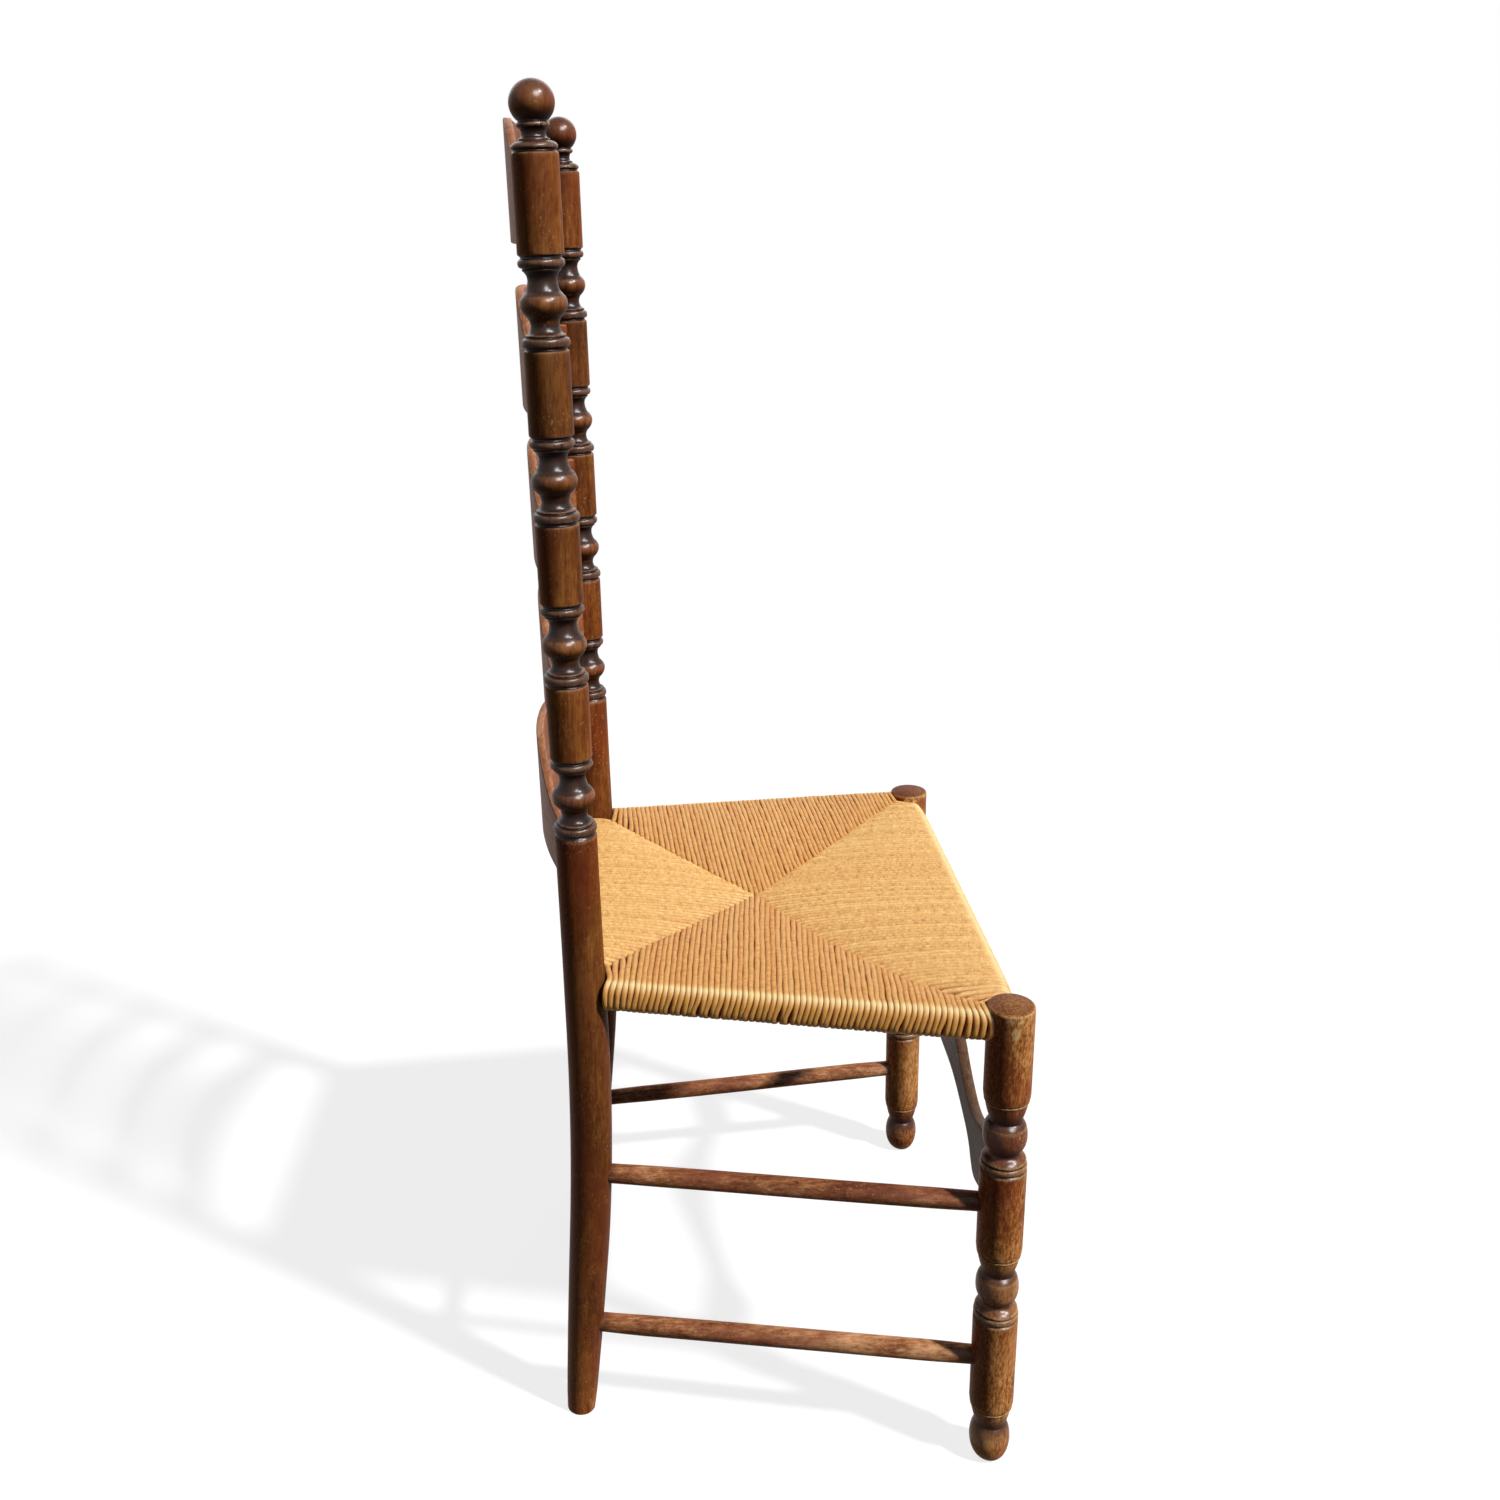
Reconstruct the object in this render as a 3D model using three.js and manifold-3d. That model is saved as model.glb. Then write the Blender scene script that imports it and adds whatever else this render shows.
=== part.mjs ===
// Ladder back chair: turned rear posts with five bowed slats, turned front legs with a shaped
// front board, plain side and rear stretchers, and a rush seat wound over four hidden rails.
// Millimetres, +Z up. The sitter faces -Y, so the sitter's left is +X.
import * as THREE from 'three';
import { mergeVertices } from 'three/addons/utils/BufferGeometryUtils.js';
import Module from 'manifold-3d';

// Driving dimensions of the frame
const seatHeight = 478.5; // floor to the top of the front legs
const frontWidth = 474; // between the axes of the front legs
const rearWidth = 363; // between the axes of the rear posts
const seatDepth = 355; // front axis to rear axis at the height of the rails
const rake = 0.052; // how far every post leans back for each unit of height
const footKick = 0.04; // how far the rear feet sweep back again for each unit of height
const kickStart = 420; // height where the rear leg starts to bend, going down
const kickEnd = 180; // height below which the rear foot runs straight again

// Fits
const clearance = 0.3; // gap round everything that is let into something else
const housing = 10; // how deep slats, the board and stretchers enter their posts
const railHousing = 8; // rails meet in their posts at right angles, and stay clear of each other
const overrun = 8; // how far a cutting tool passes the face that it cuts

// Rear posts
const postRise = 124.5; // tops of the front legs to the first turning of the rear posts
const rearLegRadius = 18.5;
const postRadius = 17.3; // plain blocks that hold the slats
const balusterHeight = 66.6; // turning between two blocks
const blockHeight = 62.6;
const topBlockHeight = 69;
const blockEase = 1.4; // worn edge of a block
const finialNeckHeight = 20.4; // top block to the ball
const finialRadius = 16.4;
const finialHalfHeight = 15.7; // the ball is a little flat

// Front legs
const frontLegRadius = 20;
const footHeight = 40; // foot ball, floor to neck
const frontTurningHeight = 49; // ring, neck and ball between two blocks
const lowerBlockHeight = 120;
const middleBlockHeight = 109;
const legTopDome = 2;
const legTopEase = 3;

// Slats
const slatThickness = 7;
const slatBows = [31, 30, 29, 28, 38]; // how far each middle lies behind the posts, top slat first
const slatHeight = 95; // bottom edge to the crest in the middle
const slatLift = 6.5; // bottom edge above the bottom of the block

// Front board
const boardThickness = 10;
const boardBottom = 253; // lowest point above the floor
const boardHeight = 99; // lowest point to the crest
const boardEase = 1.2;

// Stretchers
const sideStretcherRise = 11.5; // how much higher the front end lies than the rear end
const lowerStretcherHeight = 101.2; // at the rear post
const upperStretcherHeight = 268.4;
const lowerStretcherRadius = 9.3;
const upperStretcherRadius = 9.1;
const rearStretcherHeight = 192;
const rearStretcherRadius = 9.2;
const stretcherEndRadius = 8.7;
const stretcherTaper = 40; // length over which an end swells to the full radius

// Rails and rush
const railRadius = 10;
const railTenonRadius = 6.5;
const railTaper = 14;
const rearRailDrop = 22.5; // rail axes below the tops of the front legs
const frontRailDrop = 19;
const frontRailSetback = 5; // front rail behind the axes of the front legs
const rollHalfWidth = 15.5; // rush round a rail
const rollHalfHeight = 14.5;
const seatCentre = 188; // where the four panels meet, behind the front rail
const seatDip = 13; // top of the rolls down to the meeting point
const seatCentreThickness = 21;
const cornerShare = 0.7; // how far the rolls reach past a corner, against their half width

// Faceting
const radialSegments = 14;
const curveSteps = 2; // straight steps for each small curve of a turning
const ballSteps = 8; // from the neck of a finial to its top
const rodSegments = 10;
const bowSteps = 12; // along a slat's bend
const slatEdgeSteps = 9; // along half of a slat's upper or lower edge
const boardEdgeSteps = 14; // along half of the board's upper or lower edge
const panelStrands = 6; // loft sections from a corner of the seat to the middle
const rollSteps = 6; // round the outside of a roll
const panelSteps = 3; // across a panel, from the roll to the crease

// Turned outlines. Each row is a point, or a control point and an end point of a curve:
// shares of the turning's radius and of its height, going up.
const balusterShares = [
  [0.945, 0],
  [0.89, 0.024],
  [1.135, 0.085, 0.9, 0.138],
  [0.84, 0.16],
  [0.66, 0.19, 0.63, 0.263],
  [0.74, 0.357],
  [1.03, 0.415, 1.03, 0.5],
  [1.03, 0.56, 0.77, 0.62],
  [0.66, 0.665, 0.635, 0.743],
  [0.64, 0.8, 0.845, 0.85],
  [0.82, 0.865],
  [1.06, 0.91, 0.885, 0.965],
  [0.945, 1],
];
const finialNeckShares = [
  [0.945, 0],
  [0.895, 0.08],
  [0.99, 0.14, 0.96, 0.22],
  [0.93, 0.33, 0.7, 0.37],
  [0.64, 0.42],
  [0.5, 0.46, 0.51, 0.6],
  [0.52, 0.78, 0.62, 0.85],
  [0.69, 0.93, 0.6, 1],
];
const rearLegShares = [
  [0.72, 0, 0.78, 0.03],
  [0.93, 0.15, 1, 0.33],
  [1.03, 0.55, 0.97, 0.8],
  [0.96, 0.9, 0.96, 0.997],
];
const frontTurningShares = [
  [0.955, 0],
  [0.9, 0.034],
  [1.09, 0.1, 0.9, 0.155],
  [0.88, 0.172],
  [0.95, 0.19],
  [0.93, 0.235, 0.82, 0.275],
  [0.7, 0.31, 0.68, 0.345],
  [0.685, 0.385, 0.76, 0.425],
  [0.945, 0.52, 0.945, 0.68],
  [0.945, 0.82, 0.82, 0.9],
  [0.73, 0.945, 0.67, 1],
];
const frontFootShares = [
  [0.875, 0.13, 0.925, 0.54],
  [0.93, 0.85, 0.68, 1],
];
const footTipShare = 0.52; // radius of the foot ball where it meets the floor
const blockSwellShares = [0.9, 0.3, 1, 1]; // rounded lower end of a front block
const swellHeight = 27;
const scribeDepth = 0.5; // fine line cut round the swelling
const scribeWidth = 1.2;

// Edges of a slat, as shares of the half span between the posts and of the slat's height
const slatTopShares = [
  [0, 1], [0.3, 0.985], [0.48, 0.895], [0.62, 0.76], [0.76, 0.64], [0.9, 0.575], [1, 0.56],
];
const slatBottomShares = [[0, 0], [1, 0]];

// The same for the front board, between the legs
const boardTopShares = [
  [0, 1], [0.13, 0.965], [0.28, 0.8], [0.45, 0.62], [0.62, 0.52], [0.8, 0.585], [1, 0.655],
];
const boardBottomShares = [
  [0, 0.434], [0.25, 0.415], [0.48, 0.3], [0.62, 0.19], [0.74, 0.005], [0.86, 0.035], [1, 0.09],
];

const wood = { color: 0x5a3219, roughness: 0.38 };
const paleWood = { color: 0x8a5236, roughness: 0.6 };
const rush = { color: 0xc99a5b, roughness: 0.85 };

const wasm = await Module();
wasm.setup();

function cleaned(geometry) {
  const bare = geometry.clone();
  bare.deleteAttribute('normal');
  bare.deleteAttribute('uv');
  const merged = mergeVertices(bare);
  const index = Array.from(merged.index.array);
  const kept = [];
  for (let i = 0; i < index.length; i += 3) {
    const [a, b, c] = index.slice(i, i + 3);
    if (a !== b && b !== c && c !== a) {
      kept.push(a, b, c);
    }
  }
  merged.setIndex(kept);
  return merged;
}

function toSolid(geometry) {
  const mesh = cleaned(geometry);
  return new wasm.Manifold(new wasm.Mesh({
    numProp: 3,
    vertProperties: new Float32Array(mesh.attributes.position.array),
    triVerts: new Uint32Array(mesh.index.array),
  }));
}

function toGeometry(solid) {
  const { vertProperties, triVerts } = solid.getMesh();
  const geometry = new THREE.BufferGeometry();
  geometry.setAttribute('position', new THREE.BufferAttribute(new Float32Array(vertProperties), 3));
  geometry.setIndex(Array.from(triVerts));
  geometry.computeVertexNormals();
  return geometry;
}

function cut(geometry, tools) {
  const start = toSolid(geometry);
  return toGeometry(tools.reduce((solid, tool) => solid.subtract(toSolid(tool)), start));
}

const rearLegHeight = seatHeight + postRise;
const rearRailHeight = seatHeight - rearRailDrop;
const frontRailHeight = seatHeight - frontRailDrop;

// Axes of the posts: how far back they lie at a height, and their slope there
const frontAxis = {
  x: frontWidth / 2,
  back: (height) => rake * (height - frontRailHeight),
  slope: () => rake,
};
const rearAxis = {
  x: rearWidth / 2,
  back(height) {
    const bendLength = kickStart - kickEnd;
    const bend = THREE.MathUtils.clamp(kickStart - height, 0, bendLength);
    const below = Math.max(kickEnd - height, 0);
    const straight = seatDepth + rake * (Math.max(height, kickStart) - rearRailHeight);
    const turn = (rake + footKick) / bendLength;
    return straight - rake * bend + turn * bend * bend / 2 + footKick * below;
  },
  slope(height) {
    const share = THREE.MathUtils.clamp((height - kickEnd) / (kickStart - kickEnd), 0, 1);
    return THREE.MathUtils.lerp(-footKick, rake, share);
  },
};

function pointOn(axis, side, height) {
  return new THREE.Vector3(side * axis.x, axis.back(height), height);
}

// Lays a turning, made upright on the Y axis, along a post's axis
function alongAxis(geometry, axis, side) {
  const position = geometry.attributes.position;
  for (let i = 0; i < position.count; i += 1) {
    const height = position.getY(i);
    const angle = Math.atan(axis.slope(height));
    const depth = position.getZ(i);
    const y = axis.back(height) - depth * Math.cos(angle);
    const z = height + depth * Math.sin(angle);
    position.setXYZ(i, side * axis.x + position.getX(i), y, z);
  }
  return geometry;
}

function addTurning(path, shares, radius, base, height) {
  for (const row of shares) {
    const sizes = row.map((share, i) => (i % 2 === 0 ? radius * share : base + height * share));
    if (row.length === 2) {
      path.lineTo(...sizes);
    } else {
      path.quadraticCurveTo(...sizes);
    }
  }
}

function turned(path) {
  return new THREE.LatheGeometry(path.getPoints(curveSteps), radialSegments);
}

// Heights of the blocks of a rear post, from the top one down, then the top of its leg
const lowestBlock = rearLegHeight + balusterHeight;
const blockPitch = blockHeight + balusterHeight;
const slatCount = slatBows.length;
const topBlock = lowestBlock + (slatCount - 2) * blockPitch;

function rearPostProfile() {
  const path = new THREE.Path();
  path.moveTo(0, -overrun);
  path.lineTo(rearLegRadius * rearLegShares[0][0], -overrun);
  path.lineTo(rearLegRadius * rearLegShares[0][0], 0);
  addTurning(path, rearLegShares, rearLegRadius, 0, rearLegHeight);
  let base = rearLegHeight;
  for (let i = 1; i < slatCount; i += 1) {
    const height = i === slatCount - 1 ? topBlockHeight : blockHeight;
    addTurning(path, balusterShares, postRadius, base, balusterHeight);
    base += balusterHeight;
    path.lineTo(postRadius, base + blockEase);
    path.lineTo(postRadius, base + height - blockEase);
    base += height;
  }
  addTurning(path, finialNeckShares, postRadius, base, finialNeckHeight);
  const ringRadius = path.currentPoint.x;
  const ballStart = -Math.acos(ringRadius / finialRadius);
  const ballCentre = base + finialNeckHeight - finialHalfHeight * Math.sin(ballStart);
  for (let i = 1; i < ballSteps; i += 1) {
    const angle = THREE.MathUtils.lerp(ballStart, Math.PI / 2, i / ballSteps);
    path.lineTo(finialRadius * Math.cos(angle), ballCentre + finialHalfHeight * Math.sin(angle));
  }
  path.lineTo(0, ballCentre + finialHalfHeight);
  return path;
}

function addFrontBlock(path, base, top) {
  const swellTop = base + swellHeight;
  addTurning(path, [blockSwellShares], frontLegRadius, base, swellHeight);
  path.lineTo(frontLegRadius - scribeDepth, swellTop + scribeWidth / 2);
  path.lineTo(frontLegRadius, swellTop + scribeWidth);
  path.lineTo(frontLegRadius, top - blockEase);
}

function frontLegProfile() {
  const path = new THREE.Path();
  path.moveTo(0, -overrun);
  path.lineTo(frontLegRadius * footTipShare, -overrun);
  path.lineTo(frontLegRadius * footTipShare, 0);
  addTurning(path, frontFootShares, frontLegRadius, 0, footHeight);
  let base = footHeight;
  for (const height of [lowerBlockHeight, middleBlockHeight]) {
    addFrontBlock(path, base, base + height);
    base += height;
    addTurning(path, frontTurningShares, frontLegRadius, base, frontTurningHeight);
    base += frontTurningHeight;
  }
  const rim = seatHeight - legTopDome;
  addFrontBlock(path, base, rim - legTopEase + blockEase);
  path.quadraticCurveTo(frontLegRadius, rim, frontLegRadius - legTopEase, rim);
  path.quadraticCurveTo(frontLegRadius / 2, seatHeight, 0, seatHeight);
  return path;
}

// A round piece from one axis point to another, upright on the Y axis until it is placed
function rodMesh(from, to, size, grow) {
  const along = new THREE.Vector3().subVectors(to, from);
  const length = along.length();
  along.normalize();
  const first = size.fromRadius - size.housing - grow;
  const last = length - (size.toRadius - size.housing - grow);
  const shoulder = size.shoulder;
  const path = new THREE.Path();
  path.moveTo(0, first);
  path.lineTo(size.endRadius + grow, first);
  path.lineTo(size.endRadius + grow, size.fromRadius + shoulder);
  path.lineTo(size.radius + grow, size.fromRadius + shoulder + size.taper);
  path.lineTo(size.radius + grow, length - size.toRadius - shoulder - size.taper);
  path.lineTo(size.endRadius + grow, length - size.toRadius - shoulder);
  path.lineTo(size.endRadius + grow, last);
  path.lineTo(0, last);
  const mesh = new THREE.Mesh(new THREE.LatheGeometry(path.getPoints(1), rodSegments));
  mesh.position.copy(from);
  mesh.quaternion.setFromUnitVectors(new THREE.Vector3(0, 1, 0), along);
  mesh.updateMatrix();
  return mesh;
}

function toolFrom(mesh) {
  return cleaned(mesh.geometry).applyMatrix4(mesh.matrix);
}

function sideStretcher(side, height, radius, grow) {
  const from = pointOn(rearAxis, side, height);
  const to = pointOn(frontAxis, side, height + sideStretcherRise);
  const size = {
    radius,
    endRadius: stretcherEndRadius,
    housing,
    fromRadius: rearLegRadius,
    toRadius: frontLegRadius,
    shoulder: clearance,
    taper: stretcherTaper,
  };
  return rodMesh(from, to, size, grow);
}

function rearStretcher(grow) {
  const size = {
    radius: rearStretcherRadius,
    endRadius: stretcherEndRadius,
    housing,
    fromRadius: rearLegRadius,
    toRadius: rearLegRadius,
    shoulder: clearance,
    taper: stretcherTaper,
  };
  const from = pointOn(rearAxis, 1, rearStretcherHeight);
  const to = pointOn(rearAxis, -1, rearStretcherHeight);
  return rodMesh(from, to, size, grow);
}

// Where the rails' axes cross at the corners of the seat
function seatCorner(side, atRear) {
  if (atRear) {
    return pointOn(rearAxis, side, rearRailHeight);
  }
  return new THREE.Vector3(side * frontAxis.x, frontRailSetback, frontRailHeight);
}

function railSize(fromRadius, toRadius) {
  return {
    radius: railRadius,
    endRadius: railTenonRadius,
    housing: railHousing,
    fromRadius,
    toRadius,
    shoulder: clearance,
    taper: railTaper,
  };
}

function frontRail(grow) {
  const size = railSize(frontLegRadius, frontLegRadius);
  return rodMesh(seatCorner(1, false), seatCorner(-1, false), size, grow);
}

function rearRail(grow) {
  const size = railSize(rearLegRadius, rearLegRadius);
  return rodMesh(seatCorner(1, true), seatCorner(-1, true), size, grow);
}

function sideRail(side, grow) {
  const front = pointOn(frontAxis, side, frontRailHeight);
  return rodMesh(seatCorner(side, true), front, railSize(rearLegRadius, frontLegRadius), grow);
}

// The slats, the top one first
const slats = slatBows.map((bow, i) => ({ bow, bottom: topBlock + slatLift - i * blockPitch }));

// Closed outline between an upper and a lower edge, with square ends let into the posts
function edgedOutline(topShares, bottomShares, size, grow) {
  const edge = (shares, sign, lift) => {
    const knots = shares.map(([across, up]) => (
      new THREE.Vector2(sign * size.half * across, size.bottom + size.height * up + lift)
    ));
    return knots.length > 2 ? new THREE.SplineCurve(knots).getPoints(size.steps) : knots;
  };
  const rightTop = edge(topShares, 1, grow);
  const rightBottom = edge(bottomShares, 1, -grow);
  const leftTop = edge(topShares, -1, grow);
  const leftBottom = edge(bottomShares, -1, -grow);
  const tip = size.tip + grow;
  return new THREE.Shape([
    ...leftBottom.reverse(),
    ...rightBottom.slice(1),
    new THREE.Vector2(tip, rightBottom.at(-1).y),
    new THREE.Vector2(tip, rightTop.at(-1).y),
    ...rightTop.reverse(),
    ...leftTop.slice(1),
    new THREE.Vector2(-tip, leftTop.at(-1).y),
    new THREE.Vector2(-tip, leftBottom[0].y),
  ]);
}

// A slat is a bent board sawn to its outline: a curved band crossed with the front view
function slatGeometry({ bow, bottom }, grow) {
  const half = rearAxis.x;
  const middleHeight = bottom + slatHeight / 2;
  const bendRadius = (half * half + bow * bow) / (2 * bow);
  const centre = bow - bendRadius;
  const reach = Math.asin(half / bendRadius);
  const outer = bendRadius + slatThickness / 2 + grow;
  const inner = bendRadius - slatThickness / 2 - grow;
  const band = new THREE.Shape();
  band.absarc(0, centre, outer, Math.PI / 2 - reach, Math.PI / 2 + reach, false);
  band.absarc(0, centre, inner, Math.PI / 2 + reach, Math.PI / 2 - reach, true);
  const blankHeight = slatHeight + 2 * overrun;
  const blank = new THREE.ExtrudeGeometry(band, {
    depth: blankHeight,
    curveSegments: bowSteps,
    bevelEnabled: false,
  });
  blank.translate(0, 0, -blankHeight / 2);
  blank.rotateX(-Math.atan(rearAxis.slope(middleHeight)));
  blank.translate(0, rearAxis.back(middleHeight), middleHeight);

  const size = {
    half: half - postRadius,
    tip: half - (postRadius - housing),
    bottom,
    height: slatHeight,
    steps: slatEdgeSteps,
  };
  const outline = edgedOutline(slatTopShares, slatBottomShares, size, grow);
  const depth = 2 * (bow + slatThickness + overrun);
  const view = new THREE.ExtrudeGeometry(outline, { depth, bevelEnabled: false });
  view.rotateX(Math.PI / 2);
  view.translate(0, rearAxis.back(middleHeight) + (bow + depth) / 2, 0);
  return toGeometry(toSolid(blank).intersect(toSolid(view)));
}

function boardGeometry(grow) {
  const size = {
    half: frontAxis.x - frontLegRadius,
    tip: frontAxis.x - (frontLegRadius - housing),
    bottom: boardBottom,
    height: boardHeight,
    steps: boardEdgeSteps,
  };
  const ease = grow > 0 ? 0 : boardEase;
  const thickness = boardThickness + 2 * grow;
  const outline = edgedOutline(boardTopShares, boardBottomShares, size, grow);
  const geometry = new THREE.ExtrudeGeometry(outline, {
    depth: thickness - 2 * ease,
    bevelEnabled: ease > 0,
    bevelThickness: ease,
    bevelSize: ease,
    bevelOffset: -ease,
    bevelSegments: 1,
  });
  geometry.rotateX(Math.PI / 2);
  geometry.translate(0, frontAxis.back(boardBottom + boardHeight / 2) + thickness / 2 - ease, 0);
  return geometry;
}

// Plain round sleeve that clears a post where the seat passes it
function postSleeve(axis, side, radius) {
  const low = Math.min(rearRailHeight, frontRailHeight) - rollHalfHeight - overrun;
  const high = Math.max(rearRailHeight, frontRailHeight) + rollHalfHeight + overrun;
  const path = new THREE.Path();
  path.moveTo(0, low);
  path.lineTo(radius + clearance, low);
  path.lineTo(radius + clearance, high);
  path.lineTo(0, high);
  return alongAxis(turned(path), axis, side);
}

// The rush is a loft of its strands. Each strand starts at the crease on top, runs out to its
// rail, goes round it and comes back to the crease underneath. Four panels share the creases.
function rushGeometry() {
  const corners = [seatCorner(1, false), seatCorner(1, true), seatCorner(-1, true), seatCorner(-1, false)];
  const outward = [[1, 0], [0, 1], [-1, 0], [0, -1]].map(([x, y]) => new THREE.Vector3(x, y, 0));
  const middleTop = (rearRailHeight + frontRailHeight) / 2 + rollHalfHeight - seatDip;
  const middle = new THREE.Vector3(0, frontRailSetback + seatCentre, middleTop - seatCentreThickness / 2);
  const positions = [];
  const triangles = [];

  function strand(panel, step) {
    const nearFirst = step <= panelStrands;
    const corner = corners[(panel + (nearFirst ? 0 : 1)) % 4];
    const share = (nearFirst ? step : 2 * panelStrands - step) / panelStrands;
    const crease = new THREE.Vector3().lerpVectors(corner, middle, share);
    const creaseHalf = THREE.MathUtils.lerp(rollHalfHeight, seatCentreThickness / 2, Math.sqrt(share));
    const from = corners[panel];
    const to = corners[(panel + 1) % 4];
    const key = outward[panel].x === 0 ? 'x' : 'y';
    const along = (crease[key] - from[key]) / (to[key] - from[key]);
    const rail = new THREE.Vector3().lerpVectors(from, to, along);
    const sweep = outward[panel].clone();
    if (share === 0) {
      const other = nearFirst ? (panel + 3) % 4 : (panel + 1) % 4;
      sweep.add(outward[other]).multiplyScalar(cornerShare);
    }
    const points = [];
    for (const sign of [1, -1]) {
      const run = [];
      for (let i = 0; i < panelSteps; i += 1) {
        const across = 1 - i / panelSteps;
        const point = new THREE.Vector3().lerpVectors(rail, crease, across);
        const railEdge = rail.z + sign * rollHalfHeight;
        const creaseEdge = crease.z + sign * creaseHalf;
        point.z = THREE.MathUtils.lerp(railEdge, creaseEdge, across * across);
        run.push(point);
      }
      points.push(sign > 0 ? run : run.reverse());
    }
    const roll = [];
    for (let i = 0; i <= rollSteps; i += 1) {
      const angle = Math.PI / 2 - Math.PI * i / rollSteps;
      const point = rail.clone().addScaledVector(sweep, rollHalfWidth * Math.cos(angle));
      point.z = rail.z + rollHalfHeight * Math.sin(angle);
      roll.push(point);
    }
    return [...points[0], ...roll, ...points[1]];
  }

  for (let panel = 0; panel < 4; panel += 1) {
    for (let step = 0; step < 2 * panelStrands; step += 1) {
      const a = strand(panel, step);
      const b = strand(panel, step + 1);
      for (let i = 0; i < a.length - 1; i += 1) {
        const start = positions.length / 3;
        positions.push(...a[i], ...b[i], ...b[i + 1], ...a[i + 1]);
        triangles.push(start, start + 2, start + 1, start, start + 3, start + 2);
      }
    }
  }
  const loft = new THREE.BufferGeometry();
  loft.setAttribute('position', new THREE.BufferAttribute(new Float32Array(positions), 3));
  loft.setIndex(triangles);
  return cut(loft, [
    ...[1, -1].flatMap((side) => [
      postSleeve(frontAxis, side, frontLegRadius),
      postSleeve(rearAxis, side, rearLegRadius),
      toolFrom(sideRail(side, clearance)),
    ]),
    toolFrom(frontRail(clearance)),
    toolFrom(rearRail(clearance)),
  ]);
}

// A block under the floor that trims the feet level
function floorTool() {
  const width = 2 * (frontWidth + overrun);
  const box = new THREE.BoxGeometry(width, 2 * (seatDepth + frontWidth), 2 * overrun);
  box.translate(0, 0, -overrun);
  return box;
}

function rearPost(side) {
  return cut(alongAxis(turned(rearPostProfile()), rearAxis, side), [
    floorTool(),
    ...slats.map((slat) => slatGeometry(slat, clearance)),
    toolFrom(sideStretcher(side, lowerStretcherHeight, lowerStretcherRadius, clearance)),
    toolFrom(sideStretcher(side, upperStretcherHeight, upperStretcherRadius, clearance)),
    toolFrom(rearStretcher(clearance)),
    toolFrom(rearRail(clearance)),
    toolFrom(sideRail(side, clearance)),
  ]);
}

function frontLeg(side) {
  return cut(alongAxis(turned(frontLegProfile()), frontAxis, side), [
    floorTool(),
    boardGeometry(clearance),
    toolFrom(sideStretcher(side, lowerStretcherHeight, lowerStretcherRadius, clearance)),
    toolFrom(sideStretcher(side, upperStretcherHeight, upperStretcherRadius, clearance)),
    toolFrom(frontRail(clearance)),
    toolFrom(sideRail(side, clearance)),
  ]);
}

const chair = new THREE.Group();

function add(name, part, finish) {
  const mesh = part.isMesh ? part : new THREE.Mesh(part);
  mesh.geometry = cleaned(mesh.geometry);
  mesh.name = name;
  mesh.material = new THREE.MeshStandardMaterial({ ...finish, metalness: 0 });
  chair.add(mesh);
}

for (const [word, side] of [['left', 1], ['right', -1]]) {
  add(`rear_post_${word}`, rearPost(side), wood);
  add(`front_leg_${word}`, frontLeg(side), wood);
  const upper = sideStretcher(side, upperStretcherHeight, upperStretcherRadius, 0);
  const lower = sideStretcher(side, lowerStretcherHeight, lowerStretcherRadius, 0);
  add(`side_stretcher_upper_${word}`, upper, paleWood);
  add(`side_stretcher_lower_${word}`, lower, paleWood);
  add(`seat_rail_${word}`, sideRail(side, 0), paleWood);
}
slats.forEach((slat, i) => add(`slat_${i + 1}`, slatGeometry(slat, 0), wood));
add('rear_stretcher', rearStretcher(0), paleWood);
add('front_stretcher_board', boardGeometry(0), wood);
add('seat_rail_front', frontRail(0), paleWood);
add('seat_rail_rear', rearRail(0), paleWood);
add('rush_seat', rushGeometry(), rush);

// The origin lies on the floor under the middle of the chair
const box = new THREE.Box3().setFromObject(chair);
const middle = box.getCenter(new THREE.Vector3());
chair.position.set(-middle.x, -middle.y, -box.min.z);

export default chair;
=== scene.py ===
"""Ladder back chair: the looks. Metres, in the part's own frame: +Z up, the sitter faces -Y.

Forms are worked out in millimetres in the source's frame, whose origin is on the floor below
the point midway between the front legs' axes at rail height, and are then moved.
"""
import math
import bpy
import numpy as np
from mathutils import Matrix, Vector


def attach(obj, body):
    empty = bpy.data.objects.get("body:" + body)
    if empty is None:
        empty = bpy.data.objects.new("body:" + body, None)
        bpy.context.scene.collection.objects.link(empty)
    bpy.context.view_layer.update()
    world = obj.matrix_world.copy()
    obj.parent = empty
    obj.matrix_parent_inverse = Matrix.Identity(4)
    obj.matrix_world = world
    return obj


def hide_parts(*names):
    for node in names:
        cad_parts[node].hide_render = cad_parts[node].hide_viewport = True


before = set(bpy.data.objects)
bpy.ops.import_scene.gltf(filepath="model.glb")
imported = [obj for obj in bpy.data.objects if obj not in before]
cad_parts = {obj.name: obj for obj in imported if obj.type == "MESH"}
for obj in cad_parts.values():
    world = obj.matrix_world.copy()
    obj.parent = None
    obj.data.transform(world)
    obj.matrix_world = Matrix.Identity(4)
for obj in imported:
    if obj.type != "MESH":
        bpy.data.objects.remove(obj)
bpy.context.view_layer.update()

# The photograph's camera: it looks along +X from the sitter's right, and down
CAMERA_PLACE = Vector((-1.266, 0.1234, 1.0765))
CAMERA_PAN = math.radians(-0.96)
CAMERA_TILT = math.radians(19.32)
CAMERA_ROLL = math.radians(-0.92)
SENSOR_WIDTH = 36.0
FRAME_PIXELS = 1500
FOCAL_PIXELS = 1421.8
OPTICAL_CENTRE = (655.9, 727.4)

# Source frame to part frame
MILLIMETRE = 0.001
FRAME_SHIFT = np.array((0.0, -192.225, 0.0))

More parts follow.
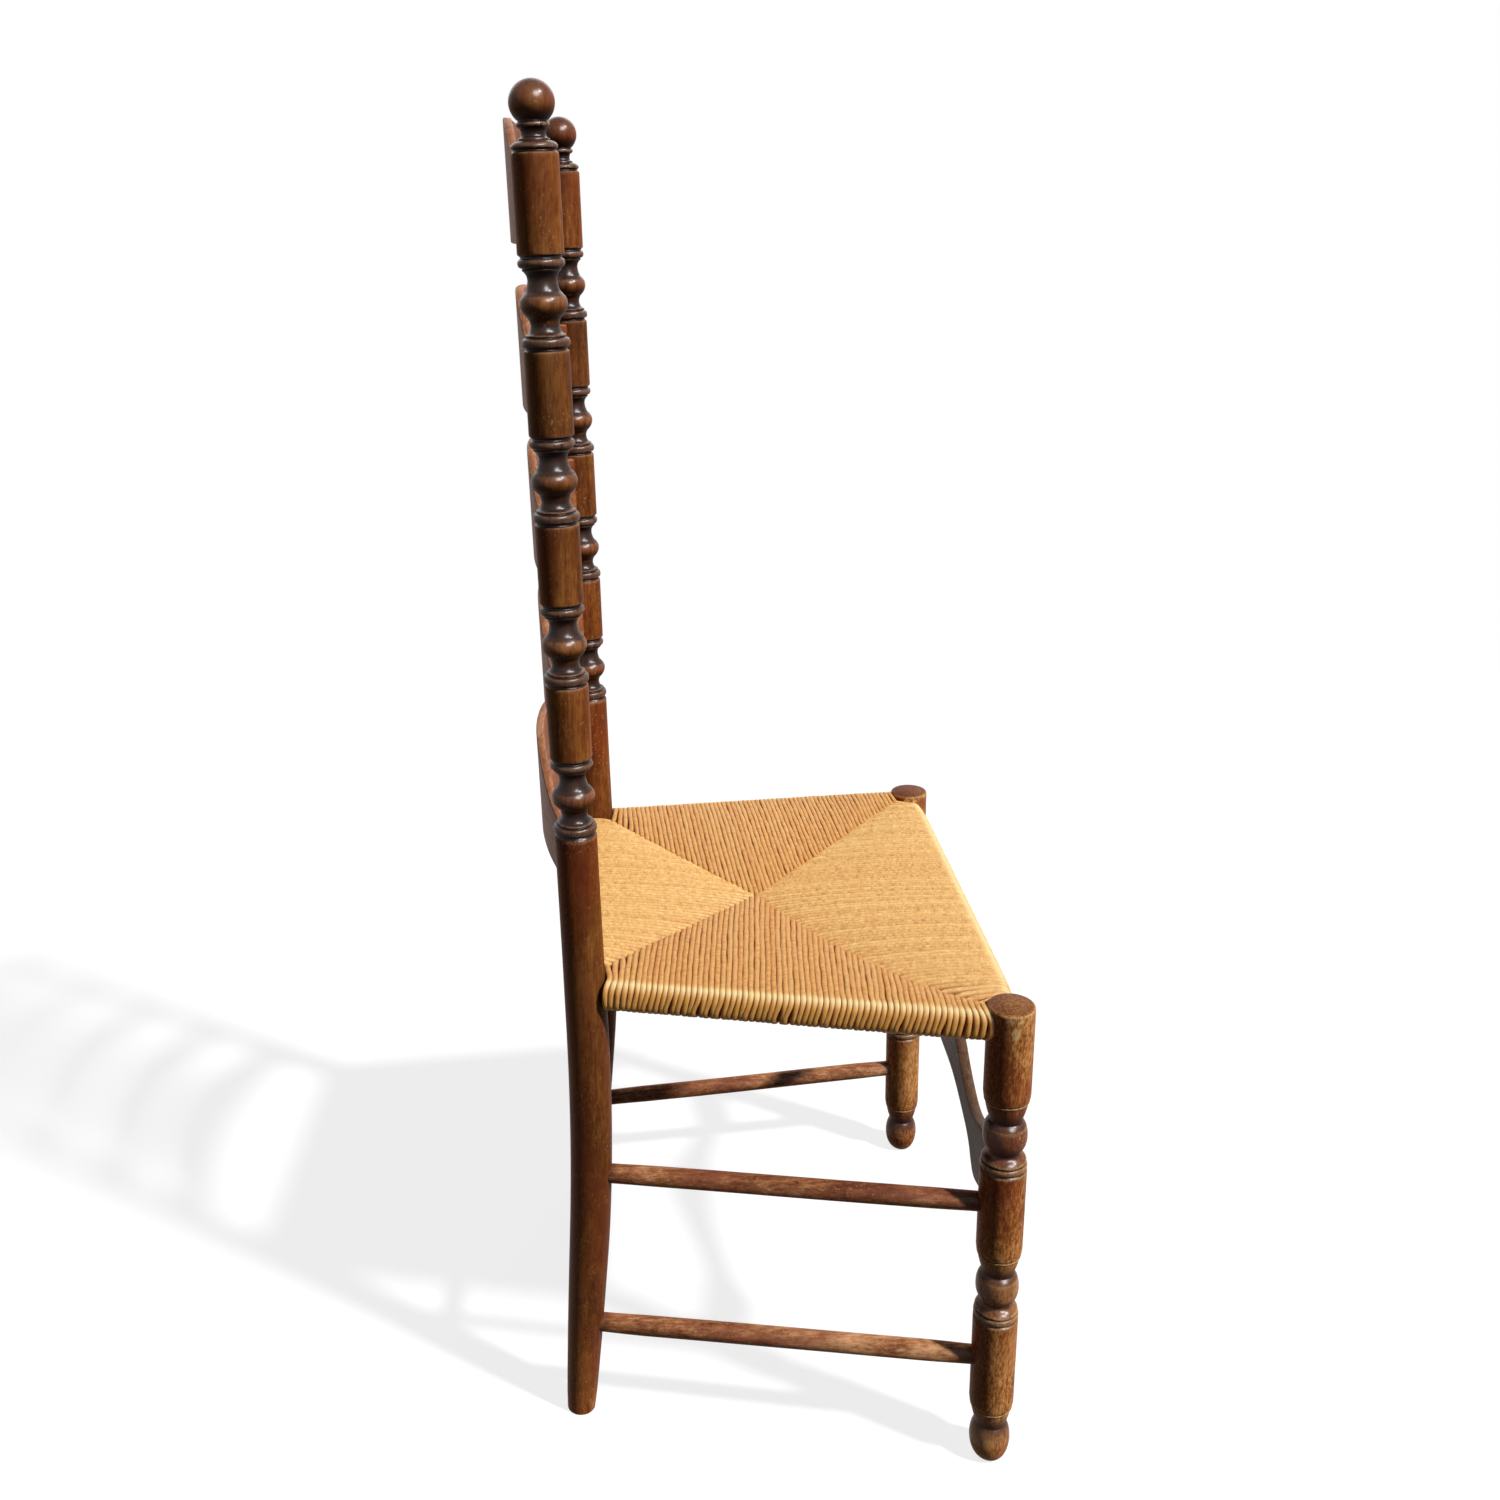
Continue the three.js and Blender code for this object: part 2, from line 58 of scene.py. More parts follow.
# Sizes of the posts and legs, as in the CAD
SEAT_HEIGHT = 478.5
FRONT_AXIS_X = 237
REAR_AXIS_X = 181.5
SEAT_DEPTH = 355
RAKE = 0.052
FOOT_KICK = 0.04
KICK_START = 420
KICK_END = 180
REAR_LEG_HEIGHT = 603
REAR_LEG_RADIUS = 18.5
POST_RADIUS = 17.3
BALUSTER_HEIGHT = 66.6
BLOCK_HEIGHT = 62.6
TOP_BLOCK_HEIGHT = 69
REAR_BLOCKS = (BLOCK_HEIGHT, BLOCK_HEIGHT, BLOCK_HEIGHT, TOP_BLOCK_HEIGHT)
LOWEST_BLOCK = REAR_LEG_HEIGHT + BALUSTER_HEIGHT
BLOCK_PITCH = BLOCK_HEIGHT + BALUSTER_HEIGHT
BLOCK_EASE = 1.4
CORNER_RADIUS_SHARE = 0.985
CORNER_RISE = BLOCK_EASE * 0.35
FINIAL_NECK_HEIGHT = 20.4
FINIAL_RADIUS = 16.4
FINIAL_HALF_HEIGHT = 15.7
FINIAL_STEPS = 30
FRONT_LEG_RADIUS = 20
LEG_RADII = {"front": FRONT_LEG_RADIUS, "rear": REAR_LEG_RADIUS}
FOOT_HEIGHT = 40
FRONT_TURNING_HEIGHT = 49
LOWER_BLOCK_HEIGHT = 120
MIDDLE_BLOCK_HEIGHT = 109
LEG_TOP_DOME = 2
LEG_TOP_EASE = 3
LEG_TOP_TIP = 0.4
SWELL_HEIGHT = 27
SWELL_EDGE_HEIGHT = 19.5
SWELL_SINK = 0.6
SWELL_SINK_HEIGHT = 5
SWELL_LINE = [(0.1, 0.3), (0.15, 1.0), (-0.4, 1.4), (-0.4, 1.8), (0.05, 2.2)]
SWELL_LINE_HEIGHT = 2.6
HOUSING = 9.5

# Sizes of the slats, board, stretchers and seat, as in the CAD
SLAT_THICKNESS = 7
SLAT_HEIGHT = 95
SLAT_EASE = 1.6
SLAT_BOWS = (31, 30, 29, 28, 38)
SLAT_LIFT = 6.5
BOARD_THICKNESS = 10
BOARD_BOTTOM = 253
BOARD_HEIGHT = 99
BOARD_EASE = 1.5
SIDE_STRETCHERS = (("lower", 101.2, 9.3), ("upper", 268.4, 9.1))
SIDE_STRETCHER_RISE = 11.5
REAR_STRETCHER_HEIGHT = 192
REAR_STRETCHER_RADIUS = 9.2
STRETCHER_END_RADIUS = 8.7
STRETCHER_TAPER = 40
REAR_RAIL_HEIGHT = 456
FRONT_RAIL_HEIGHT = 459.5
FRONT_RAIL_SETBACK = 5
ROLL_HALF_WIDTH = 15.5
ROLL_HALF_HEIGHT = 14.5
SEAT_CENTRE = 188
SEAT_DIP = 13
SEAT_CENTRE_THICKNESS = 21

# Turned outlines going up. Each row is a point, or a control point and an end point of a
# curve: shares of the turning's radius and of its height.
BALUSTER = [
    (0.945, 0), (0.885, 0.016), (0.885, 0.03),
    (1.06, 0.034, 1.045, 0.08), (1.05, 0.13, 0.9, 0.138),
    (0.87, 0.146), (0.905, 0.151, 0.9, 0.163), (0.83, 0.172),
    (0.66, 0.19, 0.63, 0.263), (0.635, 0.31, 0.72, 0.345),
    (1.03, 0.415, 1.03, 0.5), (1.03, 0.56, 0.77, 0.62), (0.66, 0.665, 0.635, 0.743),
    (0.635, 0.8, 0.8, 0.838), (0.84, 0.842, 0.85, 0.852), (0.825, 0.858), (0.825, 0.868),
    (0.99, 0.872, 1.01, 0.915), (1.015, 0.955, 0.9, 0.968), (0.885, 0.972), (0.885, 0.986),
    (0.945, 1),
]
FINIAL_NECK = [
    (0.945, 0), (0.89, 0.045), (0.89, 0.09),
    (0.995, 0.11, 0.975, 0.2), (0.93, 0.32, 0.7, 0.365),
    (0.665, 0.37), (0.675, 0.4, 0.65, 0.44),
    (0.5, 0.47, 0.51, 0.6), (0.52, 0.76, 0.6, 0.79),
    (0.71, 0.81, 0.7, 0.88), (0.69, 0.96, 0.6, 1),
]
REAR_LEG = [
    (0.72, 0, 0.78, 0.03), (0.93, 0.15, 1, 0.33), (1.03, 0.55, 0.97, 0.8),
    (0.96, 0.9, 0.96, 0.997),
]
FRONT_TURNING = [
    (0.955, 0), (0.9, 0.02), (0.9, 0.036),
    (1.0, 0.04, 0.995, 0.09), (0.99, 0.148, 0.9, 0.155),
    (0.87, 0.163), (0.87, 0.172), (0.96, 0.176, 0.95, 0.2), (0.93, 0.235, 0.82, 0.275),
    (0.7, 0.31, 0.68, 0.345), (0.685, 0.385, 0.76, 0.425), (0.945, 0.52, 0.945, 0.68),
    (0.945, 0.83, 0.84, 0.915), (0.77, 0.965, 0.67, 1),
]
FRONT_FOOT = [(0.875, 0.13, 0.925, 0.54), (0.93, 0.85, 0.68, 1)]
FOOT_TIP = 0.52
BLOCK_SWELL = (0.9, 0.3, 1, 1)

# Edges of a slat and of the front board: shares of the half span and of the height
SLAT_TOP = [
    (0, 1), (0.3, 0.985), (0.48, 0.895), (0.62, 0.76), (0.76, 0.64), (0.9, 0.575), (1, 0.56),
]
BOARD_TOP = [
    (0, 1), (0.13, 0.965), (0.28, 0.8), (0.45, 0.62), (0.62, 0.52), (0.8, 0.585), (1, 0.655),
]
BOARD_LOW = [
    (0, 0.434), (0.25, 0.415), (0.48, 0.3), (0.62, 0.19), (0.74, 0.005), (0.86, 0.035), (1, 0.09),
]

# Fineness of the meshes: points round a piece, along it, or on an edge's line
POST_SIDES = 64
ROD_SIDES = 32
ROD_STATIONS = 120
SLAT_STATIONS = 97
BOARD_STATIONS = 193
PLANK_FACE_POINTS = 15
PLANK_CORNER_POINTS = 5
EDGE_POINTS = 160

# Stain and wear on the posts: heights and shares for the leg, number and share for a block,
# and for each worn patch its turn in degrees, height, half width and half height
LEG_STAIN = ((60, 150, 330, 400, 490, 560), (0, 0.26, 0.3, 0.36, 0.36, 0))
BLOCK_STAINS = ((1, 0.12), (2, 0.36))
WORN_PATCHES = ((181, 460, 2.6, 4.4), (196, 471, 2.6, 2), (171, 471.5, 2, 1.5))
HOLLOW_REACH = 3.0
FACING_REACH = 1.2
PATCH_WEAR = 1.7
PATCH_BLUR = 5 / 9
POST_WOBBLE = 0.12

# Strands of rush
STRAND_COUNTS = {"front": 86, "rear": 60, "left": 66, "right": 66}
STRAND_HALF_HEIGHT = 2.3
STRAND_FILL = 1.13
STRAND_SIDES = 12
STRAND_TWIST = 0.22
STRAND_FLATNESS = 0.72
STRAND_STEPS = (30, 24)
CREASE_GAP = 1.2
POST_GAP = 0.6
SPLAY = 0.85
ROLL_SQUARENESS = 3.1
HOOK_REACH = 1.9
HOOK_DEPTH = 5.0
CURL_LENGTH = 11
SIDE_LEAN = 0.085
ROLL_LEAN = 0.26
FAN_REACH = 28
CREASE_BOWS = {("front", -1): -34}
SHOULDER_STRANDS = 7
SHOULDER_DROP = 3
SPREADING_STRANDS = 5
CORE_INSET = STRAND_HALF_HEIGHT * 1.7
CORE_STEPS = (8, 12)
CORE_GAP = 1.5
CORE_RINGS = 41

# Noises: scale, detail, roughness and distortion, and how far each is drawn out
STREAKS = (120.0, 5.0, 0.6, 0.7)
FIBRE = (760.0, 3.0, 0.6)
PATCHES = (19.0, 4.0, 0.6)
REDNESS = (24.0, 2.0, 0.5)
MOTTLE = (5.0, 0.75)
CHIPS = (480.0, 3.0, 0.6)
CLUSTERS = (46.0, 2.0)
STREAK_DRAW = 0.06
MOTTLE_DRAW = 0.4
CHIP_DRAW = 0.65
THREADS, THREAD_DRAW = (1300.0, 3.0, 0.65), (0.24, 1.0, 1.0)
LENGTHS, LENGTH_DRAW = (150.0, 4.0, 0.7), (1.0, 0.05, 0.05)
STUFFING = (400.0, 4.0, 0.6)

# Heights in metres between which chips and scuffs gather towards the floor
CHIPPED_BELOW = (0.16, 0.03)
SCUFFED_BELOW = (0.034, 0.008)

# The set: levels against white, lengths in metres, and lamps by strength, size in degrees
# and the direction that they stand in
FLOOR_GREY = 0.28
FLOOR_GLOW = 0.8
FLOOR_BOUNCE = 0.035
FLOOR_FADE = (1.5, 3.4)
FLOOR_REACH = 12.0
FLOOR_HEIGHT = -0.0004
WORLD_FILL = 0.012
LAMP_DISTANCE = 3
LAMPS = (
    ("key", 3.4, 4.0, (-0.342, -0.575, 0.743)),
    ("sheen", 6.5, 24.0, (-0.657, -0.395, 0.643)),
    ("far_fill", 0.6, 35.0, (0.85, -0.2, 0.5)),
    ("back_fill", 0.45, 35.0, (0.9, 0.42, 0.45)),
)

random = np.random.default_rng(7)


def linear(colour):
    """Linear colour with alpha from 0-255 values as the eye reads them."""
    parts = [value / 255 for value in colour]
    parts = [part / 12.92 if part <= 0.04045 else ((part + 0.055) / 1.055) ** 2.4 for part in parts]
    return (*parts, 1.0)


def grey(level):
    return (level, level, level, 1.0)


# Shader wiring
def new_material(name):
    material = bpy.data.materials.new(name)
    material.use_nodes = True
    material.node_tree.nodes.clear()
    return material, material.node_tree


def add(tree, kind, inputs=None, **settings):
    """A new node. Inputs that are sockets, or nodes for their first output, are linked, and
    others are set."""
    node = tree.nodes.new("ShaderNode" + kind)
    for key, value in settings.items():
        setattr(node, key, value)
    for key, value in (inputs or {}).items():
        if isinstance(value, bpy.types.Node):
            value = value.outputs[0]
        if isinstance(value, bpy.types.NodeSocket):
            tree.links.new(value, node.inputs[key])
        else:
            node.inputs[key].default_value = value
    return node


def noise(tree, place, scale, detail, roughness=0.55, distortion=0.0):
    return add(tree, "TexNoise", {"Vector": place, "Scale": scale, "Detail": detail,
                                  "Roughness": roughness, "Distortion": distortion})


def ramp(tree, value, stops):
    node = add(tree, "ValToRGB", {"Fac": value})
    elements = node.color_ramp.elements
    while len(elements) < len(stops):
        elements.new(0.5)
    for element, (position, colour) in zip(elements, stops):
        element.position, element.color = position, linear(colour)
    return node


def maths(tree, operation, first, second):
    return add(tree, "Math", {0: first, 1: second}, operation=operation)


def times(tree, value, weight):
    return maths(tree, "MULTIPLY", value, weight)


def weighted_sum(tree, *terms):
    """Sum of values, each given with its weight."""
    total = times(tree, *terms[0])
    for value, weight in terms[1:]:
        total = maths(tree, "ADD", total, times(tree, value, weight))
    return total


def laid_over(tree, base, colour, share, most):
    """The base with a colour over it, by a share of the most that it may cover. The node's
    colours are its inputs 6 and 7 and its output 2."""
    sockets = {0: times(tree, share, most), 6: base, 7: linear(colour)}
    return add(tree, "Mix", sockets, data_type="RGBA").outputs[2]


def spread(tree, value, low, high):
    """Value spread from low..high to 0..1, clamped."""
    return add(tree, "MapRange", {"Value": value, "From Min": low, "From Max": high})


def scaled(tree, place, scale):
    return add(tree, "Mapping", {"Vector": place, "Scale": scale})


def drawn_out(tree, place, grain, share):
    """The place with its grain axis scaled, so that a noise is drawn out along the grain."""
    return scaled(tree, place, tuple(share if axis == grain else 1.0 for axis in "XYZ"))


def attribute(tree, name, output="Fac"):
    return add(tree, "Attribute", attribute_name=name).outputs[output]


def bumped(tree, strength, distance, relief):
    return add(tree, "Bump", {"Strength": strength, "Distance": distance, "Height": relief})


def add_surface(tree, inputs):
    add(tree, "OutputMaterial", {"Surface": add(tree, "BsdfPrincipled", inputs)})


def wood_chips(tree, place, height, grain, shade):
    """Small pale chips, gathered in places and near the floor, and few in dark stain and in painted
    shade.
    """
    chips = noise(tree, drawn_out(tree, place, grain, CHIP_DRAW), *CHIPS)
    clusters = spread(tree, noise(tree, place, *CLUSTERS), 0.46, 0.62)
    low = times(tree, spread(tree, height, *CHIPPED_BELOW), 0.8)
    unstained = maths(tree, "SUBTRACT", 1.0, times(tree, shade, 0.8))
    gathered = times(tree, maths(tree, "MAXIMUM", clusters, low), unstained)
    return times(tree, spread(tree, chips, 0.6, 0.69), gathered)


def wood(name, grain, colours, rough=0.5, specks=0.6, cloudy=0.4, reach=0.12, fineness=240.0,
         shift=0.0):
    """Old stained wood with its grain along one axis. Its meshes may carry wear (rubbed edges),
    a mark for dark grooves and for painted shade on the undersides of turnings, shade (dark
    stain, and on the front legs painted shade under each swelling) and polish (waxed faces).
    Specks is the chips' strength, cloudy the mottle's part against the streaks, fineness its
    scale. A small reach gives strong contrast, and shift moves the pattern along X."""
    material, tree = new_material(name)
    place = add(tree, "TexCoord").outputs["Object"]
    height = add(tree, "SeparateXYZ", {0: place}).outputs["Z"]
    moved = add(tree, "VectorMath", {0: place, 1: (shift, 0.0, 0.0)})
    along = drawn_out(tree, moved, grain, STREAK_DRAW)
    across = drawn_out(tree, moved, grain, MOTTLE_DRAW)
    streaks, fibre = noise(tree, along, *STREAKS), noise(tree, along, *FIBRE)
    patches, redness = noise(tree, across, *PATCHES), noise(tree, across, *REDNESS)
    mottle = noise(tree, across, fineness, *MOTTLE)
    tone = weighted_sum(tree, (streaks, 0.5 - cloudy / 2), (patches, 0.36),
                        (mottle, cloudy / 2), (fibre, 0.14))
    base = ramp(tree, tone, [
        (0.5 - reach, colours["dark"]), (0.5, colours["middle"]), (0.51 + reach, colours["light"]),
    ])
    base = laid_over(tree, base, colours["red"], spread(tree, redness, 0.44, 0.62), 0.5)
    shade = attribute(tree, "shade")
    uneven = maths(tree, "ADD", times(tree, spread(tree, mottle, 0.4, 0.6), 0.2), 0.78)
    base = laid_over(tree, base, colours["shade"], shade, uneven)
    # Dark grooves, and painted shade on the undersides of turnings
    base = laid_over(tree, base, colours["groove_and_underside_shade_colour"], attribute(tree, "groove_and_underside_shade_mark"), 0.95)
    rubbed = times(tree, attribute(tree, "wear"), spread(tree, mottle, 0.34, 0.54))
    base = laid_over(tree, base, colours["worn"], rubbed, 0.9)
    chips = wood_chips(tree, place, height, grain, shade)
    base = laid_over(tree, base, colours["fleck"], chips, specks)
    low = spread(tree, height, *SCUFFED_BELOW)
    scuffed = times(tree, low, spread(tree, mottle, 0.4, 0.58))
    base = laid_over(tree, base, colours["scuffed"], scuffed, 0.7)
    relief = weighted_sum(tree, (fibre, 0.4), (mottle, 0.6))
    add_surface(tree, {
        "Base Color": base,
        "Roughness": maths(tree, "ADD", times(tree, mottle, 0.3), rough - 0.15),
        "Normal": bumped(tree, 0.35, 0.0004, relief),
        "IOR": 1.35, "Specular IOR Level": 0.1,
        "Coat Weight": times(tree, attribute(tree, "polish"), 0.34),
        "Coat Roughness": 0.26, "Coat IOR": 1.5,
    })
    return material


def rush_material():
    """Twisted rush cord. The mesh carries fibre (place along and round the strand), tint (one
    random share for each strand), outside (1 on the roll's outer face), a mark for the bend on
    top of the roll, rubbed paler and with a painted highlight, a mark for the strand's sides,
    darkened there as painted shade between the strands, and a mark that is 1 on the side
    panels, which are painted darker and warmer as shade."""
    material, tree = new_material("rush_strands")
    fibre = attribute(tree, "fibre", "Vector")
    threads = noise(tree, scaled(tree, fibre, THREAD_DRAW), *THREADS)
    lengths = noise(tree, scaled(tree, fibre, LENGTH_DRAW), *LENGTHS)
    tone = weighted_sum(tree, (attribute(tree, "tint"), 0.06), (lengths, 0.44), (threads, 0.5))
    base = ramp(tree, tone, [
        (0.38, (196, 128, 56)), (0.5, (242, 188, 108)), (0.62, (255, 222, 146)),
    ])
    # Painted shade on the side panels and on the strands' flanks, and a painted highlight with wear
    # on the roll's bend
    for mark, most, colour in (
        ("side_panel_shade", 0.5, (202, 128, 46)), ("outside", 0.6, (255, 182, 84)),
        ("flank_shade", 0.76, (174, 102, 40)), ("ridge_wear_and_highlight", 0.8, (254, 232, 170)),
    ):
        base = laid_over(tree, base, colour, attribute(tree, mark), most)
    relief = weighted_sum(tree, (threads, 0.7), (lengths, 0.3))
    add_surface(tree, {
        "Base Color": base, "Roughness": 0.55, "Specular IOR Level": 0.25,
        "Normal": bumped(tree, 0.6, 0.0005, relief),
    })
    return material


def core_material():
    """Loose stuffing behind the strands, coloured dark as painted shade in the gaps between them.
    """
    material, tree = new_material("rush_stuffing")
    place = add(tree, "TexCoord").outputs["Object"]
    base = ramp(tree, noise(tree, place, *STUFFING), [(0.35, (96, 58, 26)), (0.65, (150, 98, 46))])
    add_surface(tree, {"Base Color": base, "Roughness": 0.9})
    return material


# Mesh code
def add_object(name, data):
    item = bpy.data.objects.new(name, data)
    bpy.context.scene.collection.objects.link(item)
    return item


def make_piece(name, points, faces, material, attributes=None, node=None):
    """One object from points in millimetres in the source's frame, in place of the node given
    or of the one in its own name."""
    replaced = [node or name.replace("fine_", "", 1)]
    places = (np.asarray(points, dtype=float) + FRAME_SHIFT) * MILLIMETRE
    mesh = bpy.data.meshes.new(name)
    mesh.from_pydata(places.tolist(), [], faces)
    for key, values in (attributes or {}).items():
        values = np.asarray(values, dtype=np.float32)
        kind, field = ("FLOAT_VECTOR", "vector") if values.ndim == 2 else ("FLOAT", "value")
        layer = mesh.attributes.new(key, kind, "POINT")
        layer.data.foreach_set(field, values.ravel())
    mesh.shade_smooth()
    mesh.materials.append(material)
    mesh.validate()
    piece = add_object(name, mesh)
    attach(piece, "root")
    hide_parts(*replaced)


def ring_faces(rings, around, start=0):
    """Quads between rings of points that close on themselves, with both ends capped."""
    faces = []
    for i in range(rings - 1):
        low, high = start + i * around, start + (i + 1) * around
        for j in range(around):
            k = (j + 1) % around
            faces.append((low + j, low + k, high + k, high + j))
    faces.append(tuple(range(start + around - 1, start - 1, -1)))
    last = start + (rings - 1) * around
    faces.append(tuple(range(last, last + around)))
    return faces


def turns(count):
    """Angles of a number of points evenly round a ring."""
    return np.linspace(0, 2 * math.pi, count, endpoint=False)


def running_length(line):
    """Length along a line of points in a plane, from its first point."""
    return np.concatenate([[0], np.cumsum(np.hypot(np.diff(line[:, 0]), np.diff(line[:, 1])))])


def ramped(values, low, high):
    """0 up to low, 1 from high on, and even in between."""
    return np.clip((values - low) / (high - low), 0, 1)


def between(heights, low, high, soft):
    """1 between two heights, falling to 0 over a soft stretch on either side."""
    return ramped(heights, low - soft, low) * (1 - ramped(heights, high, high + soft))


# How far back the axes of the front legs and the rear posts lie at a height, and their slopes
def front_back(height):
    return RAKE * (height - FRONT_RAIL_HEIGHT)


def front_slope(heights):
    return np.full_like(heights, RAKE)


def rear_back(height):
    bend = np.clip(KICK_START - height, 0, KICK_START - KICK_END)
    below = np.maximum(KICK_END - height, 0)
    straight = SEAT_DEPTH + RAKE * (np.maximum(height, KICK_START) - REAR_RAIL_HEIGHT)
    turn = (RAKE + FOOT_KICK) / (KICK_START - KICK_END)
    return straight - RAKE * bend + turn * bend * bend / 2 + FOOT_KICK * below


def rear_slope(height):
    return -FOOT_KICK + (RAKE + FOOT_KICK) * ramped(height, KICK_END, KICK_START)


# Turned outlines, as paths of (radius, height) points
def add_curve(path, start, control, end, steps):
    for i in range(1, steps + 1):
        t = i / steps
        a, b, c = (1 - t) ** 2, 2 * t * (1 - t), t * t
        path.append(tuple(a * p + b * q + c * r for p, q, r in zip(start, control, end)))


def run_outline(rows, radius, base, height, path, steps=7, start=None):
    """Adds a turned outline's rows to a path."""
    for row in rows:
        sizes = [radius * s if i % 2 == 0 else base + height * s for i, s in enumerate(row)]
        if len(row) == 2:
            path.append((sizes[0], sizes[1]))
        else:
            add_curve(path, path[-1] if path else start, sizes[:2], sizes[2:], steps)


def refined(path, step=2.5):
    """The path with no stretch longer than step."""
    points = [path[0]]
    for (r0, h0), (r1, h1) in zip(path, path[1:]):
        count = max(1, math.ceil(math.hypot(r1 - r0, h1 - h0) / step))
        for i in range(1, count + 1):
            points.append((r0 + (r1 - r0) * i / count, h0 + (h1 - h0) * i / count))
    return np.array(points)


def rear_outline():
    path = [(REAR_LEG_RADIUS * REAR_LEG[0][0], 0.0)]
    run_outline(REAR_LEG, REAR_LEG_RADIUS, 0, REAR_LEG_HEIGHT, path, steps=24)
    base = REAR_LEG_HEIGHT
    corner = POST_RADIUS * CORNER_RADIUS_SHARE
    for height in REAR_BLOCKS:
        run_outline(BALUSTER, POST_RADIUS, base, BALUSTER_HEIGHT, path)
        base += BALUSTER_HEIGHT
        path += [(corner, base + CORNER_RISE), (POST_RADIUS, base + BLOCK_EASE)]
        base += height
        path += [(POST_RADIUS, base - BLOCK_EASE), (corner, base - CORNER_RISE)]
    run_outline(FINIAL_NECK, POST_RADIUS, base, FINIAL_NECK_HEIGHT, path)
    start = -math.acos(path[-1][0] / FINIAL_RADIUS)
    centre = base + FINIAL_NECK_HEIGHT - FINIAL_HALF_HEIGHT * math.sin(start)
    for i in range(1, FINIAL_STEPS):
        angle = start + (math.pi / 2 - start) * i / FINIAL_STEPS
        rise = FINIAL_HALF_HEIGHT * math.sin(angle)
        path.append((FINIAL_RADIUS * math.cos(angle), centre + rise))
    return refined(path)


def add_front_block(path, base, top):
    """Adds a block that swells from the turning below it, with the line round its swelling."""
    swell = []
    run_outline([BLOCK_SWELL], FRONT_LEG_RADIUS, base, SWELL_HEIGHT, swell, 30, path[-1])
    edge = base + SWELL_EDGE_HEIGHT
    for radius, height in swell:
        if height < edge:
            sink = SWELL_SINK * min(1, (height - base) / SWELL_SINK_HEIGHT)
            path.append((radius - sink, height))
    radius = np.interp(edge, [point[1] for point in swell], [point[0] for point in swell])
    path += [(radius + out, edge + up) for out, up in SWELL_LINE]
    path += [point for point in swell if point[1] > edge + SWELL_LINE_HEIGHT]
    path.append((FRONT_LEG_RADIUS, top - BLOCK_EASE))


def front_outline():
    path = [(FRONT_LEG_RADIUS * FOOT_TIP, 0.0)]
    run_outline(FRONT_FOOT, FRONT_LEG_RADIUS, 0, FOOT_HEIGHT, path, steps=14)
    base = FOOT_HEIGHT
    corner = FRONT_LEG_RADIUS * CORNER_RADIUS_SHARE
    for height in (LOWER_BLOCK_HEIGHT, MIDDLE_BLOCK_HEIGHT):
        add_front_block(path, base, base + height)
        base += height
        path.append((corner, base - CORNER_RISE))
        run_outline(FRONT_TURNING, FRONT_LEG_RADIUS, base, FRONT_TURNING_HEIGHT, path)
        base += FRONT_TURNING_HEIGHT
    rim, radius = SEAT_HEIGHT - LEG_TOP_DOME, FRONT_LEG_RADIUS
    add_front_block(path, base, rim - LEG_TOP_EASE + BLOCK_EASE)
    add_curve(path, path[-1], (radius, rim), (radius - LEG_TOP_EASE, rim), 8)
    add_curve(path, path[-1], (radius / 2, SEAT_HEIGHT), (LEG_TOP_TIP, SEAT_HEIGHT), 8)
    return refined(path)


# Stains, and painted shade under the front legs' swellings: shade, turned rows (1 where the lathe
# cut rings, necks and balls) and fine lines
def rear_stain(_radii, heights):
    """Dark rings and waists, bulbs and a ball rubbed paler, a darker stretch of leg below the
    seat, and two darker blocks."""
    base, turned, bare = REAR_LEG_HEIGHT, np.zeros_like(heights), np.zeros_like(heights)
    for height in REAR_BLOCKS:
        turned[(heights > base - 0.1) & (heights < base + BALUSTER_HEIGHT + 0.1)] = 1
        low, high = base + 0.36 * BALUSTER_HEIGHT, base + 0.52 * BALUSTER_HEIGHT
        bare = np.maximum(bare, between(heights, low, high, 6))
        base += BALUSTER_HEIGHT + height
    turned[heights > base - 0.1] = 1
    ball = base + FINIAL_NECK_HEIGHT
    bare = np.maximum(bare, between(heights, ball + 6, ball + 15, 14) * (heights > ball + 0.5))
    stain = np.interp(heights, *LEG_STAIN)
    for block, share in BLOCK_STAINS:
        low = LOWEST_BLOCK + block * BLOCK_PITCH
        stain = np.maximum(stain, share * between(heights, low, low + BLOCK_HEIGHT, 0.1))
    return np.maximum(turned * (1 - bare), stain), turned, np.zeros_like(heights)


def front_stain(radii, heights):
    """Dark stained waists, painted shade at each neck and up the underside of the swelling above
    it to its line, paler balls, and a dark top. The foot's upper half counts as turned too."""
    base = 0
    turned, shade, lines = (np.zeros_like(heights) for _ in range(3))
    turned[(heights > 0.5 * FOOT_HEIGHT) & (heights < FOOT_HEIGHT)] = 1
    for plain, turning in ((FOOT_HEIGHT, 0), (LOWER_BLOCK_HEIGHT, FRONT_TURNING_HEIGHT),
                           (MIDDLE_BLOCK_HEIGHT, FRONT_TURNING_HEIGHT)):
        start = base + plain
        base = start + turning
        edge = base + SWELL_EDGE_HEIGHT
        turned[(heights > start - 0.1) & (heights < base + 0.1)] = 1
        shade = np.maximum(shade, 0.42 * turned * (heights > start))
        # Painted shade: the neck and the underside of the swelling above it, darkened up to its
        # line
        shade = np.maximum(shade, between(heights, base - 1.5, base + 5, 14) * (heights < edge))
        if turning:
            shade = np.maximum(shade, 0.6 * between(heights, start, start + 0.4 * turning, 4))
        lines[(heights > edge - 0.3) & (heights < edge + 1.1)] = 1
    dome = (heights > SEAT_HEIGHT - LEG_TOP_DOME - 0.3) & (radii < FRONT_LEG_RADIUS - 1.5)
    return np.where(dome, 0.6, shade), turned, lines


def smoothed(values, places, reach):
    """Mean of the values within reach of each place along a line."""
    weights = (np.abs(places[:, None] - places) < reach) * (np.gradient(places) + 1e-6)
    return (weights * values).sum(1) / weights.sum(1)


